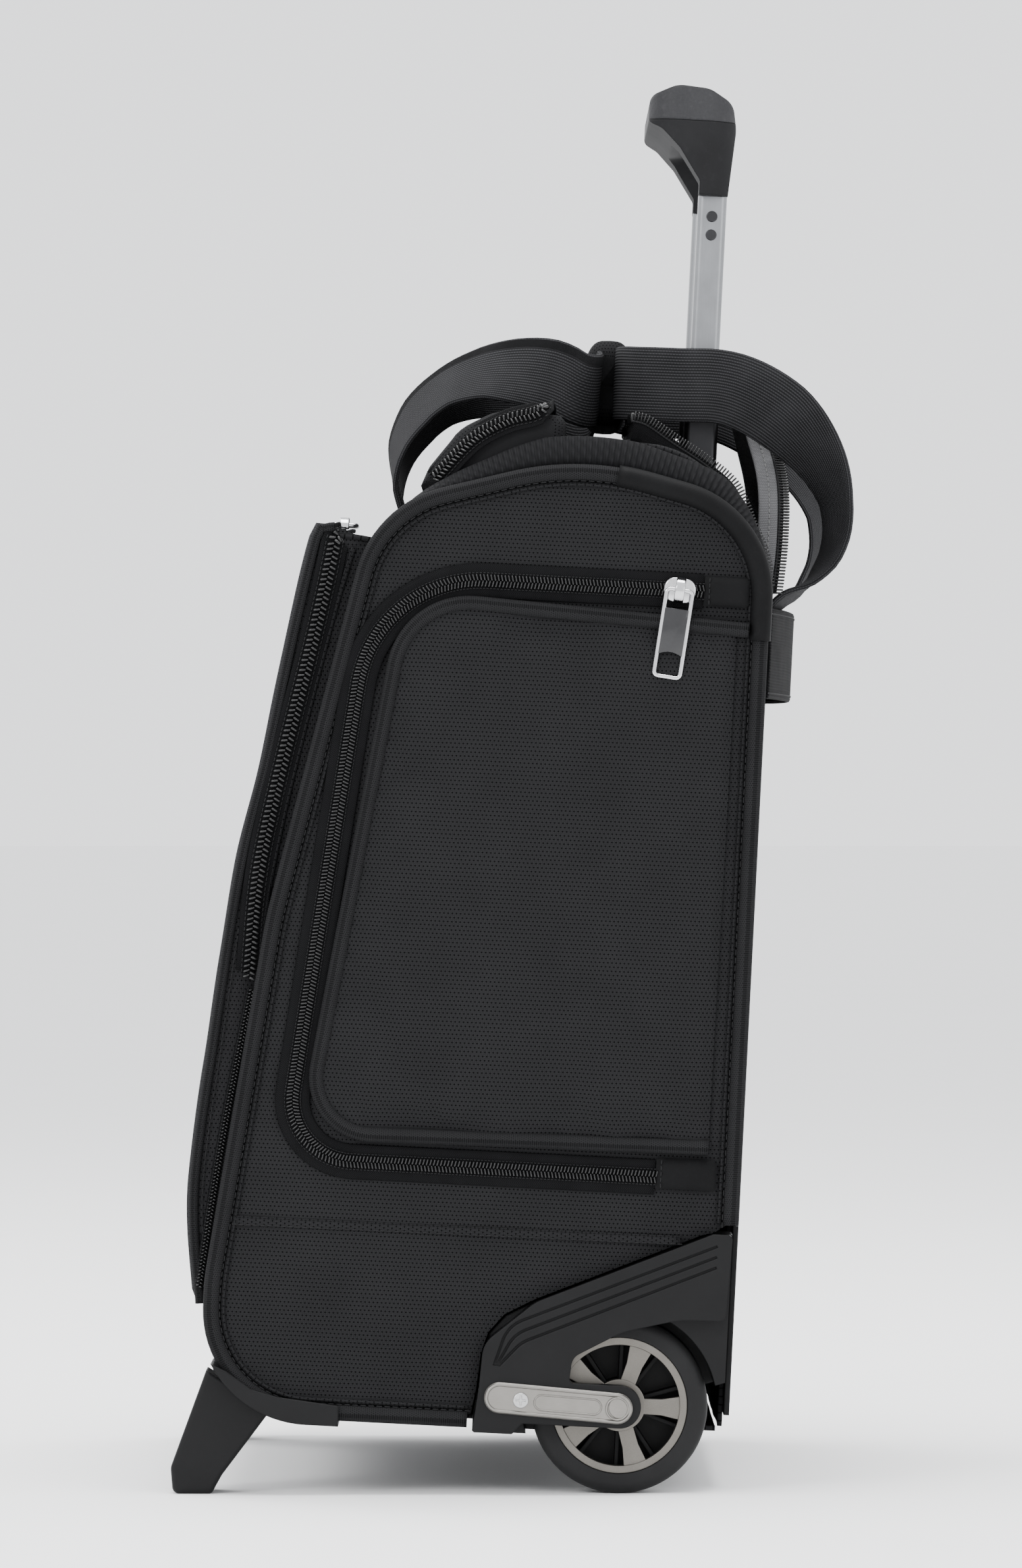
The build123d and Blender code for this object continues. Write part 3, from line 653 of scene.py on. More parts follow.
# ---- side outline --------------------------------------------------------------------------
OUTLINE = rounded_path(
    [(-178, -12), (46.5, -12), (46.5, 382.6), (-36.5, 401.8), (-123.3, 376.7), (-160, 200), (-178.5, 45)],
    [46, 4, 48, 120, 50, 200, 100], closed=True,
)
HOUSING_FRONT, HOUSING_TOP_Z, BACK_EDGE_Y = -63.0, 76.0, 30.0
SIDE_X, ARCH_LOW_Z, ARCH_FRONT_Y = 174.0, 323.0, -22.0
HOUSING_EDGE = [(-62.8, -6), (-61, 5), (-59.8, 20), (-57.2, 28.6), (-50.6, 36.6), (-38.4, 43.4), (34.4, 75.6)]


def outline_run(amount):
    """Side outline moved in by amount, without the corner that the wheel housing takes."""
    dense = spaced(OUTLINE, 4, closed=True)
    run = moved(dense, amount, closed=True)
    start = next(i for i, p in enumerate(run) if p.x > BACK_EDGE_Y and p.y > HOUSING_TOP_Z)
    ordered = run[start:] + run[:start]
    return [p for p in ordered if not (p.x > HOUSING_FRONT and p.y < HOUSING_TOP_Z)]


def side_wall(side, sign):
    """Side cloth with its edge piping, arch sleeve and lower seam."""
    run = outline_run(5)
    edge = [Vector(p) for p in HOUSING_EDGE]
    outline = run + spaced(edge + [Vector((run[0].x, 75.6))], 5)[0:-1]
    crowned(
        f"{side}_side_wall", outline, lambda y, z, h: (sign * (172.9 + h), y, z), 1.2, 30, NYLON,
        "nylon_fabric", wave=0.35, over=[f"side_panel_{side}"], spacing=6, swell=0.8,
    )
    piping = at_x(outline_run(3.4), sign * SIDE_X)
    tube(f"{side}_edge_piping", piping, 3.5, PIPING, "piping_fabric")
    welt = at_x(outline_run(8.4), sign * (SIDE_X + 0.3))
    tube(f"{side}_piping_welt", welt, 1.3, NYLON, "nylon_fabric", flat=0.7)
    stitches(f"{side}_piping_stitch", at_x(outline_run(7.0), sign * (SIDE_X + 1.2)), X_AXIS * sign, 3.4)
    sleeve_run = [p for p in outline_run(3.6) if p.y > ARCH_LOW_Z and p.x > ARCH_FRONT_Y]
    tube(f"{side}_arch_sleeve", at_x(sleeve_run, sign * (SIDE_X + 0.3)), 4.7, SLEEVE, "piping_fabric")
    seam = at_x(spaced([Vector((-167, 70.5)), Vector((22, 71.5))], 4), sign * (SIDE_X + 0.9))
    sweep(f"{side}_lower_seam", seam, strap_section(4.2, 0.9), Vector((0, 0, 1)), NYLON, "nylon_fabric")
    stitches(f"{side}_lower_stitch", [p + Vector((sign * 0.5, 0, -1.5)) for p in seam], X_AXIS * sign, 3.0)


both_sides(side_wall)
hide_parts("side_piping")
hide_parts("piping_sleeves")


# ---- side pockets --------------------------------------------------------------------------
ROLL = [(38, 331), (-107, 338), (-139, 109.5), (32, 111.5)]
ZIP = [(18, 346.5), (-121, 346.5), (-148, 98), (10, 98)]
POCKET_X, POCKET_BACK_Y = 175.6, 37.0


def side_pocket(side, sign):
    """Padded pocket panel with its cloth roll and zip."""
    roll = spaced(rounded_path(ROLL, [32, 24]), 3)
    outline = [p for p in spaced(moved(roll, -2.4), 5) if p.x < POCKET_BACK_Y]
    panel = crowned(
        f"{side}_pocket_panel", outline, lambda y, z, h: (sign * (POCKET_X + h), y, z), 3.0, 26, NYLON,
        "nylon_fabric", wave=0.8, spacing=5, swell=3.0,
    )
    tube(f"{side}_pocket_roll", at_x(roll, sign * (POCKET_X + 1.4)), 3.2, PIPING, "piping_fabric")
    zip_path = at_x(rounded_path(ZIP, [52, 26]), sign * POCKET_X)
    coil_zip(f"{side}_pocket_zip", zip_path, X_AXIS * sign, tape=7.4, pitch=1.5)


both_sides(side_pocket)
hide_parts("side_pocket_panels")
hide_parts("side_pocket_rolls")
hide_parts("side_pocket_zips")


def pocket_tabs(side, sign):
    """Folded cloth tabs over the two ends of the side zip."""
    for label, y0, y1, z0, z1 in (("upper", 18.3, 37.5, 340.5, 353), ("lower", 10.3, 36, 93, 106)):
        corners = [Vector((y0, z0)), Vector((y1, z0)), Vector((y1, z1)), Vector((y0, z1))]
        crowned(
            f"{side}_{label}_tab", spaced(corners, 2.5, closed=True),
            lambda y, z, h: (sign * (POCKET_X + 0.6 + h), y, z), 1.9, 2.6, SLEEVE, "nylon_fabric",
            spacing=2.5,
        )
        stitch = [Vector((sign * (POCKET_X + 2.4), y0 + 2.2, z)) for z in (z0 + 1.5, z1 - 1.5)]
        stitches(f"{side}_{label}_tab_stitch", stitch, X_AXIS * sign, 2.4)


both_sides(pocket_tabs)


# ---- walls between the sides ---------------------------------------------------------------
GUSSET_HALF = 171.0
CROWN_EDGE = 14.0
INNER = moved(spaced(OUTLINE, 5, closed=True), 2.0, closed=True)


def strip(name, run, half, material, slot, bulge, x_low=None, **how):
    """Cloth wall across the case along a side-view run, with a soft crown and waves."""
    low = -half if x_low is None else x_low
    stations = np.linspace(low, half, max(5, int((half - low) / 9)))
    out = moved(run, -1)
    rows = []
    for i, p in enumerate(run):
        normal = out[i] - p
        ends = min(i, len(run) - 1 - i, 3) / 3
        row = []
        for x in stations:
            share = min((half - x) / CROWN_EDGE, (x - low) / CROWN_EDGE, 1)
            waves = 0.6 * share * ripple((x, p.x, p.y), 45, len(name))
            lift = bulge * math.sqrt(max(share, 0)) * ends + waves
            row.append(Vector((x, p.x + normal.x * lift, p.y + normal.y * lift)))
        rows.append(row)
    return grid(name, rows, material, slot, thick=2.0, **how)


FRONT_Y, FRONT_LOW_Z = -98.0, 34.0
front = [i for i, p in enumerate(INNER) if p.x < FRONT_Y and p.y > FRONT_LOW_Z]
front_run = INNER[front[0]:front[0] + len(front)]
strip("front_wall", front_run, GUSSET_HALF, NYLON, "nylon_fabric", 1.0, over=["front_panels"])
base_run = [p for p in INNER[:60] if p.y < FRONT_LOW_Z and p.x < HOUSING_FRONT - 2]
strip("base_front", base_run, GUSSET_HALF, NYLON, "nylon_fabric", 0.8, over=["base_panel"])
LOW_HALF = 132.0
base_back = [Vector((y, -10.2)) for y in np.linspace(-66, 42, 20)]
strip("base_back", base_back, LOW_HALF, NYLON, "nylon_fabric", 0.5)
back_run = [Vector((44.2, z)) for z in np.linspace(79, 343, 45)]
strip("back_wall", back_run, GUSSET_HALF, NYLON, "nylon_fabric", 1.6, over=["back_panel"])
back_low = [Vector((43.8, z)) for z in np.linspace(-9, 82, 16)]
strip("back_low", back_low, LOW_HALF, NYLON, "nylon_fabric", 0.5)

TOP_HALF = 158.0
BAND_STOPS = [-109, -85, -50, -15, 20, 46]
BAND_RISE = [0.0, 0.5, 1.0, 1.0, 0.8, 0.0]
band_run = spaced([p for p in INNER if p.y > 343 and BAND_STOPS[0] < p.x < BAND_STOPS[-1]], 2.5)


def top_band(side, sign):
    """Ribbed strip that rises from the piping to the lids."""
    away = moved(band_run, -1)
    rows = []
    for i, p in enumerate(band_run):
        ridge = 1.0 + 13 * float(np.interp(p.x, BAND_STOPS, BAND_RISE))
        normal = away[i] - p
        row = []
        for k in range(9):
            ribs = 0.35 * math.sin(2 * math.pi * (i + 0.8 * math.sin(k / 3)))
            lift = ridge * math.sin(math.pi * (0.03 + 0.62 * k / 8)) + ribs
            point = p + normal * lift
            row.append(Vector((sign * (GUSSET_HALF - 13 * (k / 8) ** 1.4), point.x, point.y)))
        rows.append(row if sign > 0 else row[::-1])
    over = ["top_edge_bands"] if sign > 0 else []
    grid(f"{side}_top_band", rows, RIB_BAND, "nylon_fabric", thick=1.6, over=over)


both_sides(top_band)


# ---- main lid ------------------------------------------------------------------------------
LID = rounded_path(
    [(-104, 386), (-101, 394), (-88, 411.5), (-74, 419), (-44, 419), (-44, 390)], [10, 20, 14, 3], step=2.5,
)


def puffy(name, outline, half, crown, material, slot, round_end=5.0, **how):
    """Stuffed cloth shape: a side-view outline carried across the case, with rounded ends."""
    middle = sum(outline, Vector((0, 0))) / len(outline)
    stations = [-half + round_end * (1 - math.cos(a)) for a in np.linspace(0, math.pi / 2, 5)]
    stations += list(np.linspace(-half + round_end, half - round_end, max(8, int(half / 5))))[1:-1]
    stations += [-s for s in stations[4::-1]]
    rows = []
    for x in stations:
        near = max(0, abs(x) - (half - round_end)) / round_end
        shrink = round_end * (1 - math.sqrt(max(0, 1 - near * near)))
        share = 1 - (x / half) ** 2
        row = []
        for p in outline:
            away = p - middle
            size = away.length
            lift = crown * share + 0.7 * ripple((x, p.x, p.y), 30, len(name)) * (1 - near)
            scaled = middle + away * ((size - shrink + (lift if away.y > 0 else 0)) / size)
            row.append(Vector((x, scaled.x, scaled.y)))
        rows.append(row)
    return grid(name, rows, material, slot, wrap=True, caps=True, **how)


lid_cloth = puffy("main_lid_cloth", spaced(LID, 3), TOP_HALF, 1.2, NYLON, "nylon_fabric", over=["main_lid"])
LID_ZIP_Y, LID_ZIP_Z = -53.5, 421.4
LID_SIDE = [(-98, 389), (-83.5, 406.0), (-69, 415), (-58, 418.4), (-54, 420.4)]
lid_turn = [(154, LID_ZIP_Y, 421.2), (146, LID_ZIP_Y, LID_ZIP_Z)]
lid_end = smooth_path([(159.2, y, z) for y, z in LID_SIDE] + lid_turn, 2)
lid_across = [Vector((x, LID_ZIP_Y, LID_ZIP_Z)) for x in np.arange(143, -144, -3.0)]
lid_path = lid_end + lid_across + mirrored(lid_end)


def turning_outs(path, turn_x, back, drop):
    """Outward directions of a zip that faces up, and turns to the sides beyond turn_x."""
    outs = []
    for p in path:
        share = max(0.0, min(1.0, (abs(p.x) - turn_x) / 13))
        outs.append(Vector((math.copysign(share, p.x), back * share, 1 - share * drop)).normalized())
    return outs


def chain(name, path, outs, width=4.2, pitch=1.9, tape=5.5, over=()):
    """Closed coil chain on a tape, with its own outward direction at each point."""
    path = spaced(path, pitch)
    picks = np.linspace(0, len(outs) - 1, len(path))
    outs = [outs[int(round(k))] for k in picks]
    tangents = directions(path)
    sides = [t.cross(o).normalized() for t, o in zip(tangents, outs)]
    outs = [s.cross(t).normalized() for t, s in zip(tangents, sides)]
    thin = list(range(0, len(path), 2))
    sweep(
        f"{name}_tape", [path[i] - outs[i] * 0.6 for i in thin], strap_section(2 * tape, 0.7, 2),
        [sides[i] for i in thin], TAPE, "zip_chain", over=over,
    )
    teeth, threads = [], []
    for p, t, s, o in zip(path, tangents, sides, outs):
        top = p + o * 0.8
        teeth.append((top + s * (width * 0.27), (s + t * 0.3).normalized(), o))
        teeth.append((top - s * (width * 0.27) + t * (pitch / 2), (s - t * 0.3).normalized(), o))
        threads += [(p + o * 0.2 + s * (lane * width * 0.72), t, o) for lane in (-1, 1)]
    bars(f"{name}_threads", threads, pitch * 0.7, 0.55, 0.5, THREAD, "zip_chain")
    bars(f"{name}_teeth", teeth, width * 0.62, pitch * 0.5, 1.7, COIL, "zip_chain", taper=0.7)


chain("main_lid_chain", lid_path, turning_outs(lid_path, 146, -0.35, 0.75), width=4.6, over=["main_lid_zip"])
tape_end = [Vector((x, -43.6, 416.4)) for x in np.linspace(-156, 156, 60)]
tube("lid_tape_end", tape_end, 2.6, SLEEVE, "nylon_fabric")


# ---- trolley compartment -------------------------------------------------------------------
REAR_ARCH = [(-16, 408.5), (4, 404.5), (20, 394.5), (35, 378), (42.5, 362), (44.5, 346)]
REAR_HALF = 112.0
arch = spaced(smooth_path(REAR_ARCH, 3), 4)
bridge = [Vector((y, 409 - 1.2 * math.sin(math.pi * (y + 44) / 28))) for y in np.linspace(-44, -16, 8)]
strip("top_bridge", bridge[::-1], TOP_HALF, NYLON, "nylon_fabric", 0.3, over=["top_panels"])
for side_name, sign in SIDES.items():
    low, high = sorted((sign * 115.5, sign * TOP_HALF))
    strip(f"{side_name}_shoulder", arch[::-1], high, NYLON, "nylon_fabric", 1.6, x_low=low)
OPEN_CHAIN = [
    (-14, 421), (-8, 419.5), (3.6, 412.4), (19, 403.2), (31, 393.2), (39, 376.5), (45, 363), (47, 352),
]
TOOTH_PITCH = 1.4


def half_chain(name, path, facing, away, tape=10.0, over=()):
    """One half of an open zip: comb teeth on the edge of a herringbone tape."""
    path = spaced(path, TOOTH_PITCH)
    picks = [int(round(k)) for k in np.linspace(0, len(facing) - 1, len(path))]
    faces, edges, rows, teeth = [facing[k] for k in picks], [away[k] for k in picks], [], []
    tangents = directions(path)
    for p, t, face, edge in zip(path, tangents, faces, edges):
        rows.append([p - edge * (tape * k / 4) + face * (0.5 * math.sin(k)) for k in range(5)])
        teeth.append((p + edge * 0.6, edge, face))
    grid(f"{name}_tape", rows[::2] + rows[-1:], TAPE, "zip_chain", thick=0.8, over=over)
    cord = [(p + f * 0.7 - e * 1.6, t, f) for p, t, f, e in zip(path, tangents, faces, edges)]
    bars(f"{name}_cord", cord, 1.5, 1.0, 0.9, THREAD, "zip_chain")
    bars(f"{name}_teeth", teeth, 4.4, 0.8, 2.4, COIL, "zip_chain", taper=0.75)


def open_zip(side, sign):
    run = spaced(smooth_path([(sign * 114.2, y, z) for y, z in OPEN_CHAIN], 2), 2)
    away = [Vector((0, -t.z, t.y)).normalized() for t in directions(run)]
    over = ["rear_zip_open"] if sign > 0 else []
    half_chain(f"{side}_open_zip", run, [X_AXIS * sign] * len(run), away, 11, over=over)


both_sides(open_zip)
cross_run = [Vector((x, -15.5 + 0.8 * math.cos(x / 19), 420.5)) for x in np.arange(-112, 113, 3.0)]
count = len(cross_run)
half_chain("cross_open_zip", cross_run, [Y_AXIS] * count, [Z_AXIS] * count)


FLAP = smooth_path([(46.6, 348), (48.2, 372), (47, 398), (40, 422), (31, 449.5)], 2)
FLAP_Z = [p.y for p in FLAP]
FLAP_Y = [p.x for p in FLAP]
FLAP_BASE_Z, FLAP_RISE = 346.0, 103.5


def flap_y(z):
    """Depth of the flap's face at that height."""
    return float(np.interp(z, FLAP_Z, FLAP_Y))


def flap_edge(inset):
    """The flap's arched edge moved in by inset, as (x, z) points."""
    rise, reach = FLAP_RISE - inset, REAR_HALF - 1 - inset
    angles = np.linspace(0, math.pi, 90)
    return [(reach * math.cos(a), FLAP_BASE_Z + max(rise * math.sin(a), 3)) for a in angles]


flap_outline = flap_edge(1.0)
crowned(
    "rear_flap_cloth", flap_outline, lambda x, z, h: (x, flap_y(z) + 1.4 + h, z), 1.7, 12, NYLON,
    "nylon_fabric", wave=0.8, spacing=6, over=["rear_flap"],
)
crowned(
    "rear_flap_inside", flap_outline, lambda x, z, h: (x, flap_y(z) + 0.4 - h, z), 1.2, 10, LINING, "lining",
    wave=0.6, spacing=6, over=["rear_flap_lining"],
)
border = flap_edge(1.5)
border_outs = [Vector((x, 0, (z - FLAP_BASE_Z) * 1.1)).normalized() for x, z in border]
binding = [Vector((x, flap_y(z) - 2.4, z)) for x, z in border]
sweep("flap_binding", binding, strap_section(8.6, 1.8), Y_AXIS, LINING, "lining")
binding_seam = [p + o + Vector((0, 0.4, 0)) for p, o in zip(binding, border_outs)]
stitches("flap_binding_stitch", binding_seam, border_outs, 2.6, LINING_THREAD, slot="lining")
flap_zip = [Vector((x, flap_y(z) + 4.0, z)) for x, z in border]
half_chain("flap_zip", flap_zip, border_outs, [Y_AXIS] * len(border), 3)


# ---- front pocket --------------------------------------------------------------------------
POCKET_PROFILE = [
    (-141.5, 366.2), (-146, 365.4), (-149, 361.5), (-156.5, 322), (-165, 268), (-174, 221), (-181.5, 150),
    (-187, 82), (-182, 34),
]
POCKET_SEAM = [(-131, 358), (-139, 325), (-153.5, 252), (-160.5, 205), (-163, 170)]
POCKET_HALF, POCKET_TOP_Z = 164.0, 361.6
pocket_run = smooth_path(POCKET_PROFILE, 3)


def pocket_front():
    """Front pocket: its face, the top, and a gusset with welt and seam on each side."""
    run = [Vector((p.x + 1.8, p.y)) for p in pocket_run]
    strip(
        "front_pocket_cloth", run, POCKET_HALF - 1, NYLON_FRONT, "nylon_fabric", 2.4,
        over=["front_pocket_panel"],
    )
    heights, depths = zip(*sorted((p.y, p.x) for p in INNER if p.x < FRONT_Y and 20 < p.y < 390))
    wall = [Vector((np.interp(z, heights, depths) - 0.5, z)) for z in np.linspace(FRONT_LOW_Z, 361, 20)]
    region = spaced([Vector((p.x + 3.2, p.y)) for p in pocket_run] + wall, 6, closed=True)
    back = float(np.interp(361, heights, depths)) - 0.5
    lid = []
    for y in np.linspace(-146.5, back, 10):
        lid.append(Vector((y, POCKET_TOP_Z + 0.8 * math.sin(math.pi * (y + 147) / (back + 147)))))
    strip(
        "front_pocket_top", lid[::-1], POCKET_HALF - 0.5, NYLON, "nylon_fabric", 0.4,
        over=["front_pocket_gusset"],
    )
    for side, sign in SIDES.items():
        crowned(
            f"{side}_pocket_gusset", region, lambda y, z, h: (sign * (162.4 + h), y, z), 1.4, 9, NYLON,
            "nylon_fabric", wave=0.5, spacing=5,
        )
        edge = at_x([Vector((p.x + 2.0, p.y)) for p in pocket_run], sign * 162.8)
        tube(f"{side}_pocket_welt", edge, 2.1, PIPING, "piping_fabric")
        edge_stitch = [p + Vector((sign * 1.2, 3.6, 0)) for p in edge]
        stitches(f"{side}_pocket_edge_stitch", edge_stitch, X_AXIS * sign)
        seam = smooth_path([(sign * 163.6, y, z) for y, z in POCKET_SEAM], 4)
        tube(f"{side}_pocket_seam", seam, 1.2, NYLON, "nylon_fabric")


pocket_front()
POCKET_ZIP = [(-139, 361.5), (-141.5, 345), (-147, 314), (-158, 258), (-164.5, 216), (-166, 174)]
POCKET_ZIP_Y, POCKET_ZIP_Z = -136.0, 363.1
zip_side = smooth_path([(165, y, z) for y, z in POCKET_ZIP], 2)
turn = [Vector((152, POCKET_ZIP_Y, POCKET_ZIP_Z)), Vector((160, -137, 362.8)), zip_side[0]]
zip_across = [Vector((x, POCKET_ZIP_Y, POCKET_ZIP_Z)) for x in np.arange(-149, 150, 3.0)]
zip_path = mirrored(zip_side) + smooth_path(mirrored(turn), 2)[1:] + zip_across
zip_path += smooth_path(turn, 2)[:-1] + zip_side
zip_faces = turning_outs(zip_path, 151, 0, 1)
chain("front_pocket_chain", zip_path, zip_faces, width=5.0, pitch=2.2, tape=6.0, over=["front_zips"])


def lower_chain(side, sign):
    path = smooth_path([(sign * 164.4, y, z) for y, z in ((-164.6, 168), (-173.4, 107), (-180.6, 42))], 2)
    chain(f"{side}_lower_chain", path, [X_AXIS * sign] * 4, width=2.4, pitch=1.5, tape=2.6)


both_sides(lower_chain)


# ---- webbing -------------------------------------------------------------------------------
WEB_WIDTH, WEB_THICK = 32.0, 2.3


def blended(points, values, path):
    """Direction at each dense path point, mixed from the directions given at the key points."""
    lengths = [0.0]
    for a, b in zip(points, points[1:]):
        lengths.append(lengths[-1] + (b - a).length)
    along = [0.0]
    for a, b in zip(path, path[1:]):
        along.append(along[-1] + (b - a).length)
    table = np.array([tuple(v) for v in values])
    marks = np.array(along) * lengths[-1] / along[-1]
    return [Vector([np.interp(m, lengths, table[:, k]) for k in range(3)]).normalized() for m in marks]


def webbing(name, keys, node):
    """Webbing along (point, width direction) keys, closed by its mirror image."""
    keys = keys + [((-x, y, z), (-a, b, c)) for (x, y, z), (a, b, c) in keys[::-1]]
    points = [Vector(point) for point, side in keys]
    path = spaced(smooth_path(points, 4), 3.5)
    sides = blended(points, [side for point, side in keys], path)
    sweep(name, path, strap_section(WEB_WIDTH, WEB_THICK), sides, WEBBING, "webbing", over=[node])


webbing("front_strap", [
    ((84, -111, 374), (-1, 0.05, 0)), ((85.5, -116, 388), (-1, 0.0, 0.05)),
    ((88, -116, 404), (-0.95, -0.2, 0.15)), ((90, -109, 419), (-0.88, -0.3, 0.3)),
    ((91, -98, 430), (-0.85, -0.25, 0.42)), ((91, -83, 437), (-0.72, -0.2, 0.62)),
    ((90, -66, 439.5), (-0.4, -0.15, 0.85)), ((89, -50, 438.5), (-0.1, 0.05, 1)),
    ((84, -38, 433.5), (-0.2, 0.25, 0.95)), ((72, -31, 433.5), (-0.1, 0.1, 1)),
    ((56, -30.3, 436), (0, 0, 1)), ((14, -30.3, 437.5), (0, 0, 1)),
], "front_carry_strap")
webbing("rear_strap", [
    ((93, 46.6, 338), (0.92, 0.1, 0.35)), ((94, 53, 345.5), (0.9, 0.2, 0.35)),
    ((96, 65, 355), (0.88, 0.35, 0.3)), ((99, 74.5, 370), (0.95, 0.3, 0.05)),
    ((100, 75, 389), (0.92, 0.38, 0.1)), ((98.5, 67, 408), (0.72, 0.52, 0.4)),
    ((96.5, 49.5, 426), (0.25, 0.5, 0.8)), ((95, 27, 436.5), (0, 0.15, 0.98)), ((94, 4, 437), (0, -0.1, 1)),
    ((88, -13, 437), (0, 0, 1)), ((72, -21.0, 437.5), (0, 0, 1)),
    ((44, -22.2, 437.5), (0, 0, 1)), ((14, -22.2, 437.5), (0, 0, 1)),
], "rear_carry_strap")


WRAP_Y, WRAP_Z = -26.0, 438.0


def bulge(value, power):
    """Signed power: it squares up a round outline."""
    return math.copysign(abs(value) ** power, value)


def full_turn(count):
    return np.linspace(0, 2 * math.pi, count + 1)[:-1]


wrap_outline = []
for angle in full_turn(40):
    y, z = 10.2 * bulge(math.cos(angle), 0.6), 18.4 * bulge(math.sin(angle), 0.8)
    wrap_outline.append(Vector((WRAP_Y + y, WRAP_Z + z)))
puffy("wrap_cloth", wrap_outline, 56, 1.0, NYLON, "nylon_fabric", 7, over=["handle_wrap"])
LUGGAGE_Z, LUGGAGE_HALF = 322.6, 130
strap_arc = []
for x in np.linspace(-LUGGAGE_HALF, LUGGAGE_HALF, 70):
    strap_arc.append(Vector((x, 47.6 + 13.2 * (1 - (x / LUGGAGE_HALF) ** 2), LUGGAGE_Z)))
band_section = strap_section(39, 2.4)
sweep("luggage_band", strap_arc, band_section, Z_AXIS, DARK_WEBBING, "webbing", over=["luggage_strap"])
for label, z in (("upper", 339.6), ("lower", 305.6)):
    seam = [p + Vector((0, 1.35, z - LUGGAGE_Z)) for p in strap_arc]
    stitches(f"luggage_{label}_stitch", seam, Y_AXIS, 3.4, slot="webbing")


# ---- trim on the metal parts ---------------------------------------------------------------
def ring_path(y, z, radius, x):
    """Circle round (y, z) in the plane of that x."""
    return [Vector((x, y + radius * math.cos(a), z + radius * math.sin(a))) for a in full_turn(40)]


def stadium(front, rear, radius, x):
    """Closed path round two ends at the same radius."""
    path = []
    for (y, z), start in ((rear, -90), (front, 90)):
        for a in np.linspace(math.radians(start), math.radians(start + 180), 16):
            path.append(Vector((x, y + radius * math.cos(a), z + radius * math.sin(a))))
    return path


INSERT_X = 180.1


def insert_trim(side, sign):
    """Rim, recess and screw ring on the metal insert."""
    rim = stadium((-51, 1.5), (-1, -0.6), 5.6, sign * INSERT_X)
    tube(f"{side}_insert_rim", rim, 0.75, INSERT, "satin_insert", closed=True)
    recess = stadium((-33, 0.4), (-11, -0.4), 3.2, sign * INSERT_X)
    tube(f"{side}_insert_recess", recess, 0.4, INSERT, "satin_insert", closed=True)
    ring = ring_path(-1, -0.6, 4.6, sign * (INSERT_X + 0.8))
    tube(f"{side}_insert_ring", ring, 0.45, INSERT, "satin_insert", closed=True)


both_sides(insert_trim)


def lined(name, path, radius, place, body, over):
    """Closed chrome bar along a path given in a puller's own (u, v, height)."""
    points = [place(*p) for p in path]
    up = (place(0, 0, 1) - place(0, 0, 0)).normalized()
    sides = [t.cross(up).normalized() for t in directions(points, True)]
    section = circle(radius, 10, 0.8)
    sweep(name, points, section, sides, CHROME, "chrome", closed=True, body=body, over=over)


def flat_rounded(length, width, radius, middle=0.0):
    """Rounded rectangle as (u, v) points."""
    path = []
    for su, sv, start in ((1, 1, 0), (-1, 1, 90), (-1, -1, 180), (1, -1, 270)):
        for a in range(start, start + 91, 18):
            u = middle + su * (length / 2 - radius) + radius * math.cos(math.radians(a))
            path.append((u, sv * (width / 2 - radius) + radius * math.sin(math.radians(a))))
    return path


def slab_piece(name, outline, low, high, place, material, body, over=(), soft=0.35):
    """Flat plate with softened edges in a puller's own (u, v, height)."""
    middle = (sum(u for u, _ in outline) / len(outline), sum(v for _, v in outline) / len(outline))
    rows = []
    rounding = ((high - soft, 0), (high - soft * 0.3, soft * 0.6), (high, soft * 1.6))
    for height, inset in ((low, soft), (low + soft, 0), *rounding):
        row = []
        for u, v in outline:
            du, dv = u - middle[0], v - middle[1]
            size = max(math.hypot(du, dv), 0.01)
            row.append(place(u - du / size * inset, v - dv / size * inset, height))
        rows.append(row)
    grid(name, rows, material, "chrome", wrap=True, caps=True, body=body, over=over)


PIVOT = 3.5
SLIDER_FACE = 177.4
TILT = math.radians(6)
BAR = 0.95


def zip_pull(name, place, length, width, nodes, bodies, travel, across):
    """Slider with an arched bridge, and a framed puller with a dark plate. u runs along the puller."""
    slider_node, puller_node = nodes
    slider_body, puller_body = bodies
    base = flat_rounded(across, travel, 4.6)
    slab_piece(f"{name}_slider_plate", base, 0.0, 1.7, place, CHROME, slider_body, [slider_node])
    arch = [(5.0 * math.cos(a), 0.0, 1.4 + 4.6 * math.sin(a)) for a in np.linspace(0, math.pi, 17)]
    arch_points = [place(*p) for p in arch]
    over_arch = (place(0, 1, 0) - place(0, 0, 0)).normalized()
    bridge = strap_section(4.2, 1.1)
    sweep(f"{name}_bridge", arch_points, bridge, over_arch, CHROME, "chrome", body=slider_body)
    ring = flat_rounded(length - 2 * BAR, width - 2 * BAR, 1.8, 1.0 - length / 2)
    lined(f"{name}_frame", [(u, v, PIVOT) for u, v in ring], BAR, place, puller_body, [puller_node])
    top, low, edge = -8.0, -length * 0.72, width / 2 - BAR
    plate = [(top, -edge), (top, edge), (low, edge)]
    plate += [(low + 1.6 * math.cos(k * math.pi / 2), k * edge) for k in (0.6, 0.2, -0.2, -0.6)]
    plate += [(low, -edge)]
    slab_piece(f"{name}_inlay", plate, PIVOT - 0.6, PIVOT + 0.6, place, DARK_PLATE, puller_body, soft=0.2)


def side_pull(side, sign):
    """Side pocket's slider and puller, which hangs a little askew."""
    def on_side(u, v, h):
        across = u * math.sin(TILT) + v * math.cos(TILT)
        rise = 346.5 + u * math.cos(TILT) - v * math.sin(TILT)
        return Vector((sign * (SLIDER_FACE + h), 8.0 + across, rise))

    zip_pull(
        f"{side}_pull", on_side, 39, 13, (f"{side}_zip_slider", f"{side}_zip_puller"),
        (f"{side}_side_slider", f"{side}_side_puller"), 13.5, 10.5,
    )


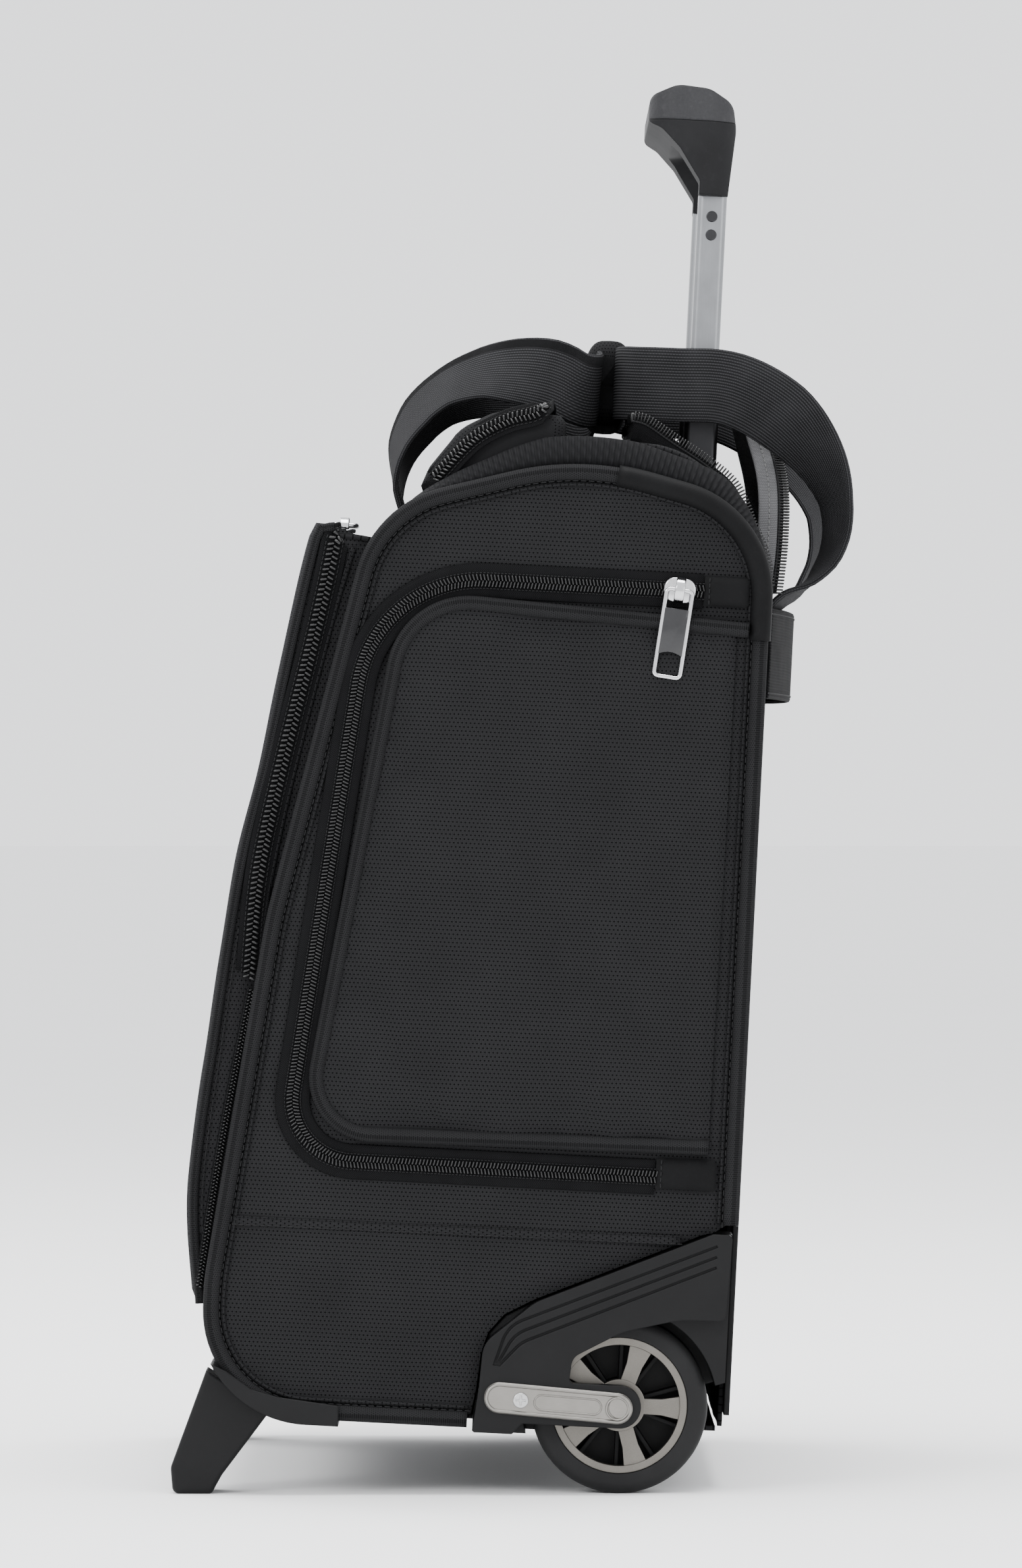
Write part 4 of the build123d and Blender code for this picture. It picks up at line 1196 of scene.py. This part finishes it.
both_sides(side_pull)
for label, x, y, z in (("front_pocket", 138.0, -136.0, 364.8), ("main_lid", -40.0, -55.0, 421.7)):
    zip_pull(
        f"{label}_pull", lambda u, v, h, x=x, y=y, z=z: Vector((x + u, y + v, z + h)), 30, 12,
        (f"{label}_slider", f"{label}_puller"), (f"{label}_slider", f"{label}_puller"), 10, 11,
    )

swell_all()


# ---- stage and camera ----------------------------------------------------------------------
FLOOR_Z = CAD_BOX[0][2]


def studio():
    """Wide pale floor under an even sky, soft lights around the case."""
    rings, spokes = (0.5, 1.5, 5.0, 40.0), 48
    points = [(0.0, 0.0, FLOOR_Z)]
    for radius in rings:
        points += [(radius * math.cos(a), radius * math.sin(a), FLOOR_Z) for a in full_turn(spokes)]
    faces = [(0, 1 + k, 1 + (k + 1) % spokes) for k in range(spokes)]
    for ring in range(len(rings) - 1):
        first = 1 + ring * spokes
        for k in range(spokes):
            after = (k + 1) % spokes
            faces.append((first + k, first + spokes + k, first + spokes + after, first + after))
    mesh = bpy.data.meshes.new("studio_floor")
    mesh.from_pydata(points, [], faces)
    floor = bpy.data.objects.new("studio_floor", mesh)
    bpy.context.scene.collection.objects.link(floor)
    paper = Finish("paper", (0.93, 0.93, 0.93), (0.95, 0.95, 0.95), (0.8, 0.9))
    mesh.materials.append(paper.made(paper.noise(300), paper.noise(1.5), 0.02))
    aim = Vector((0, 0, 0.3))
    lamps = [
        ("key", (2.6, -1.9, 1.9), aim, 1.0, 45), ("fill", (2.6, 1.9, 1.0), aim, 1.4, 12),
        ("top", (0.15, 0.0, 2.7), Vector((0.15, 0, 0)), 1.6, 100), ("rim", (-1.2, 1.9, 1.5), aim, 0.8, 8),
        ("back", (-2.0, -1.8, 1.9), aim, 1.2, 30),
    ]
    for name, place, target, size, power in lamps:
        light = bpy.data.lights.new(name, "AREA")
        light.size, light.energy = size, power
        lamp = bpy.data.objects.new(name, light)
        lamp.location = place
        lamp.rotation_euler = (target - Vector(place)).to_track_quat("-Z", "Y").to_euler()
        bpy.context.scene.collection.objects.link(lamp)
        lamp.visible_camera = False
    sky = bpy.data.worlds.new("sky")
    sky.use_nodes = True
    sky.node_tree.nodes["Background"].inputs["Color"].default_value = (0.97, 0.98, 1.0, 1)
    sky.node_tree.nodes["Background"].inputs["Strength"].default_value = 1.9
    bpy.context.scene.world = sky


studio()
camera = bpy.data.objects.new("camera", bpy.data.cameras.new("camera"))
bpy.context.scene.collection.objects.link(camera)
bpy.context.scene.camera = camera
CAMERA_X = 4.0
camera.location = (CAMERA_X, -0.0004, 0.3012)
camera.rotation_euler = (math.pi / 2, 0, math.pi / 2)
camera.data.sensor_fit = "VERTICAL"
camera.data.sensor_height = 24
camera.data.lens = 24 * (CAMERA_X - 0.18) / 0.6631
